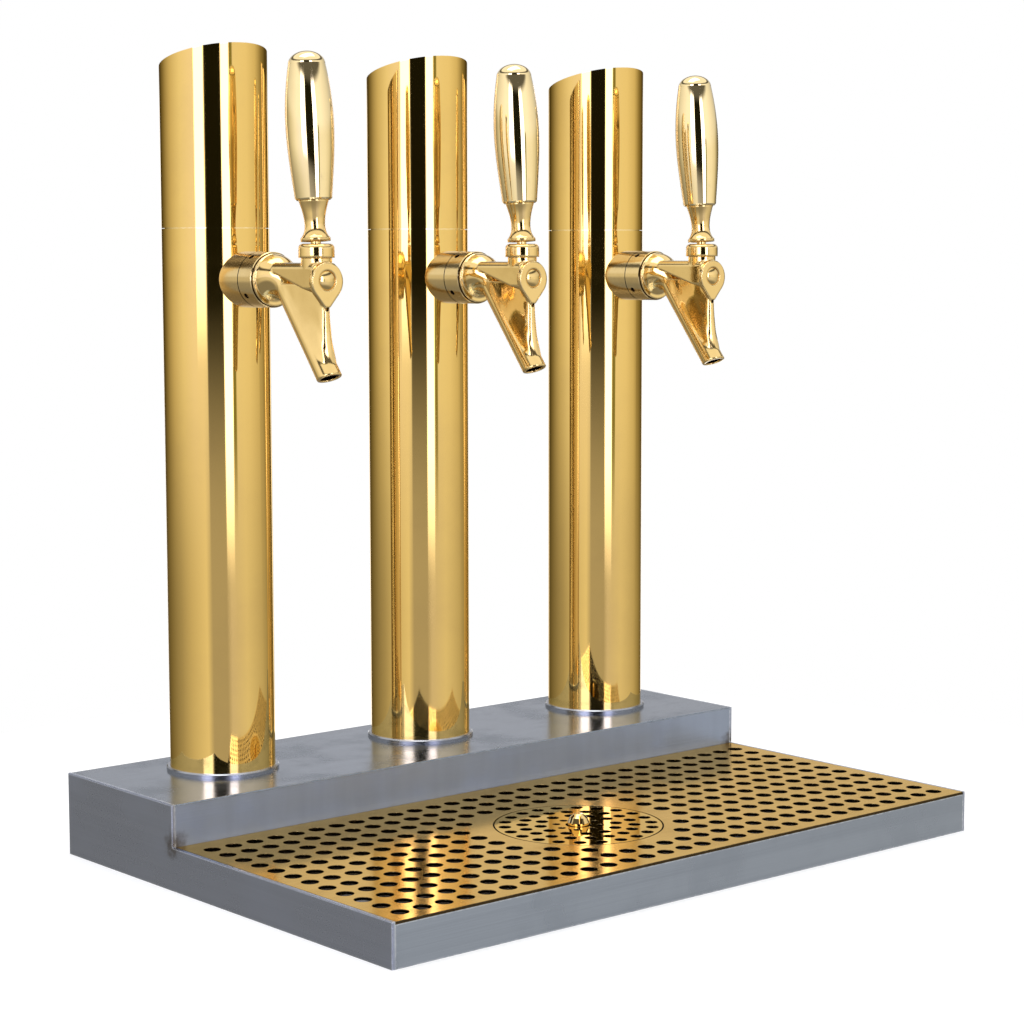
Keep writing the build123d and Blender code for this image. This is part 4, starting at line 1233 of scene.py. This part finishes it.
class Tower:
    """All the tower's pieces: the CAD nodes with their finishes, and the drilled plates.

    Attributes:
        nut_floor_radius: From a nut's axis to the floor of its spanner holes, where shade is painted.
        vent_drop: From a nut's axis down to the vent's axis.
        vent_radius: Radius within which a vent's wall gets painted shade.
        vent_depth: How far behind the head's front that ends.
        weld_rise: From the grille's top up to the middle of a weld's heat tint.
        grille_gap: From the grille's rear edge to the riser's front wall.
    """

    nut_floor_radius: float = 0.0189
    vent_drop: float = 0.0193
    vent_radius: float = 0.0015
    vent_depth: float = 0.012
    weld_rise: float = 0.002
    grille_gap: float = 0.0003

    def __init__(self, frame: dict) -> None:
        """Keep the frame and build the finishes.
        """
        self.frame = frame
        effects = Effects()
        made = (*self.brass_finishes(), *self.steel_finishes(), *self.soft_finishes())
        self.finishes = {finish.name: finish.build(effects) for finish in made}

    def brass_finishes(self) -> list[MetalFinish]:
        """Describe the brass of the columns, the taps and the plates.

        Returns:
            The finishes.
        """
        nuts = [middle_of(f"coupling_nut_{station.value}") for station in Station]
        nut_axes = tuple((x, z) for x, _, z in nuts)
        vents = tuple((x, z - self.vent_drop) for x, z in nut_axes)
        head_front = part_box("tap_body_left")[0].y
        # Smudge wear, and the edge colour for worn edges with a painted highlight.
        wear_and_highlight = {"worn_colour": (0.66, 0.44, 0.15), "edge_wear_highlight_colour": (0.95, 0.80, 0.48)}
        cast = {**wear_and_highlight, "colour": (0.84, 0.60, 0.24), "clean_roughness": 0.05, "smudge_roughness": 0.12}
        cast |= {"smudge_size": 40.0, "line_depth": 0.006, "soft_edge": 0.0022}
        turned = {**wear_and_highlight, "colour": (0.84, 0.62, 0.28), "clean_roughness": 0.10, "smudge_roughness": 0.18}
        turned |= {"smudge_size": 40.0, "line_depth": 0.05, "line_scale": (500.0, 3500.0, 500.0)}
        rinser = {**wear_and_highlight, "colour": (0.78, 0.55, 0.22), "clean_roughness": 0.03, "smudge_roughness": 0.09}
        rinser |= {"smudge_size": 24.0, "line_depth": 0.01}
        # Hole rims: narrow worn edges with a painted highlight.
        drilled = {"edge_wear_highlight_colour": (0.80, 0.60, 0.28), "edge_reach": 0.0003}
        drilled |= {"grazing_tint": (0.94, 0.78, 0.50)}
        # Painted shade in the vents of the tap bodies.
        vent = {"axes": vents, "floor_radius": self.vent_radius, "rear": head_front + self.vent_depth}
        return [
            # The column brass shows a paler painted reflection in other metal's mirror images.
            MetalFinish(
                "column_brass", colour=(0.80, 0.54, 0.165), clean_roughness=0.035, smudge_roughness=0.075,
                line_scale=(1400.0, 1400.0, 4.0), line_depth=0.006, grazing_tint=(0.95, 0.80, 0.50),
                painted_reflection_colour=(0.80, 0.66, 0.44), **wear_and_highlight,
            ),
            MetalFinish("tap_brass", **cast),
            RecessedFinish("casting_brass", **cast, **vent),
            MetalFinish(
                "handle_brass", (0.92, 0.73, 0.38), (0.84, 0.65, 0.32), wear_and_highlight["edge_wear_highlight_colour"],
                clean_roughness=0.03, smudge_roughness=0.08, smudge_size=40.0, line_depth=0.004,
            ),
            MetalFinish("turned_brass", **turned),
            RecessedFinish("nut_brass", **turned, axes=nut_axes, floor_radius=self.nut_floor_radius),
            # The grille's brass shows a grey painted reflection in other metal's mirror images, and painted
            # shade on its hole walls.
            PerforatedFinish(
                "plate_brass", colour=(0.76, 0.53, 0.22), worn_colour=(0.58, 0.38, 0.15),
                clean_roughness=0.12, smudge_roughness=0.24, smudge_size=14.0, line_depth=0.03,
                line_scale=(3.0, 700.0, 700.0), line_tint=0.25, painted_reflection_colour=(0.58, 0.58, 0.60),
                **drilled,
            ),
            PerforatedFinish("disc_brass", **{**rinser, **drilled}),
            MetalFinish("dome_brass", **rinser),
        ]

    def steel_finishes(self) -> list[MetalFinish]:
        """Describe the steel of the base and of the inner pieces.

        Returns:
            The finishes.
        """
        riser_low, riser_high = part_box("riser_cover")
        _, grille_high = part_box("drip_grille")
        weld_z = grille_high.z + self.weld_rise
        # Pale steel edge colour: wear and a painted highlight along the edges.
        edge = (0.70, 0.73, 0.78)
        welds = tuple((x, grille_high.y, weld_z) for x in (riser_low.x, riser_high.x))
        sheet = {"edge_wear_highlight_colour": edge, "line_depth": 0.10, "line_tint": 0.35, "edge_reach": 0.002}
        front_sheet = {"clean_roughness": 0.20, "smudge_roughness": 0.32, "weld_places": welds, **sheet}
        return [
            WeldedSteelFinish("sheet_steel", (0.335, 0.37, 0.425), (0.275, 0.305, 0.355), **front_sheet),
            # The riser's front wall gets a painted reflection, bluer and lighter than its top.
            StepSteelFinish(
                "step_steel", (0.225, 0.26, 0.31), (0.19, 0.22, 0.265),
                wall_place=(grille_high.y + self.grille_gap, riser_high.z), **front_sheet,
            ),
            WeldedSteelFinish(
                "end_steel", (0.38, 0.41, 0.51), (0.32, 0.35, 0.44), clean_roughness=0.26,
                smudge_roughness=0.36, line_scale=(900.0, 3.0, 900.0), weld_places=welds, **sheet,
            ),
            MetalFinish(
                "bead_steel", (0.34, 0.35, 0.38), (0.28, 0.29, 0.31), (0.44, 0.45, 0.48), 0.22, 0.34
            ),
            MetalFinish("inner_steel", (0.44, 0.44, 0.45), (0.36, 0.36, 0.37), edge, 0.28, 0.42),
            # Painted shade: near-black steel for the basin and the valve under the drilled plates.
            MetalFinish(
                "basin_painted_shade", (0.075, 0.060, 0.048), (0.045, 0.036, 0.028), (0.12, 0.10, 0.08), 0.45, 0.6
            ),
            MetalFinish("spring_steel", (0.55, 0.55, 0.56), (0.40, 0.40, 0.41), edge, 0.2, 0.3),
        ]

    @staticmethod
    def soft_finishes() -> list[PlainFinish]:
        """Describe the rubber and the plastic of the washers."""
        rubber = PlainFinish("seal_rubber", (0.03, 0.03, 0.032), (0.07, 0.07, 0.07), 0.6)
        return [rubber, PlainFinish("washer_plastic", (0.72, 0.70, 0.64), (0.60, 0.58, 0.52), 0.45)]

    @staticmethod
    def finish_for(node: str, slot: str) -> str:
        """Choose the finish of a CAD node.

        Args:
            node: The node's name.
            slot: Its material slot in the record.

        Returns:
            The finish's name.
        """
        for start, finish in FINISH_BY_START.items():
            if node.startswith(start):
                return finish
        return FINISH_BY_SLOT[slot]

    def dress_nodes(self) -> None:
        """Give every CAD node its finish."""
        for node, piece in self.frame["nodes"].items():
            slot = piece.data.materials[0].name.split(".")[0]
            finish = self.finish_for(node, slot)
            for index in range(len(piece.data.materials)):
                piece.data.materials[index] = self.finishes[finish]
            LOG.info("%s: %s", node, finish)

    def load_spring(self) -> None:
        """Give the rinser's spring a mesh of its own."""
        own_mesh(self.frame["nodes"]["rinser_spring"])

    def make_plates(self) -> None:
        """Make the two drilled plates."""
        plate_brass = self.finishes["plate_brass"]
        disc_brass = self.finishes["disc_brass"]
        grille = DripGrille("drip_plate", "drip_grille", "polished_brass", "drip_grille", plate_brass)
        disc = RinserDisc("rinser_plate", "rinser_disc", "polished_brass", "tower", disc_brass)
        for plate in (grille, disc):
            made = plate.build()
            LOG.info("%s: %d faces", made.name, len(made.data.polygons))


def main() -> None:
    """Build the studio and the tower in order."""
    logging.basicConfig(level=logging.INFO, format="%(name)s: %(message)s")
    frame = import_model()
    Studio().build()
    tower = Tower(frame)
    tower.dress_nodes()
    tower.make_plates()
    tower.load_spring()
    deselect_all()


if __name__ == "__main__":
    main()
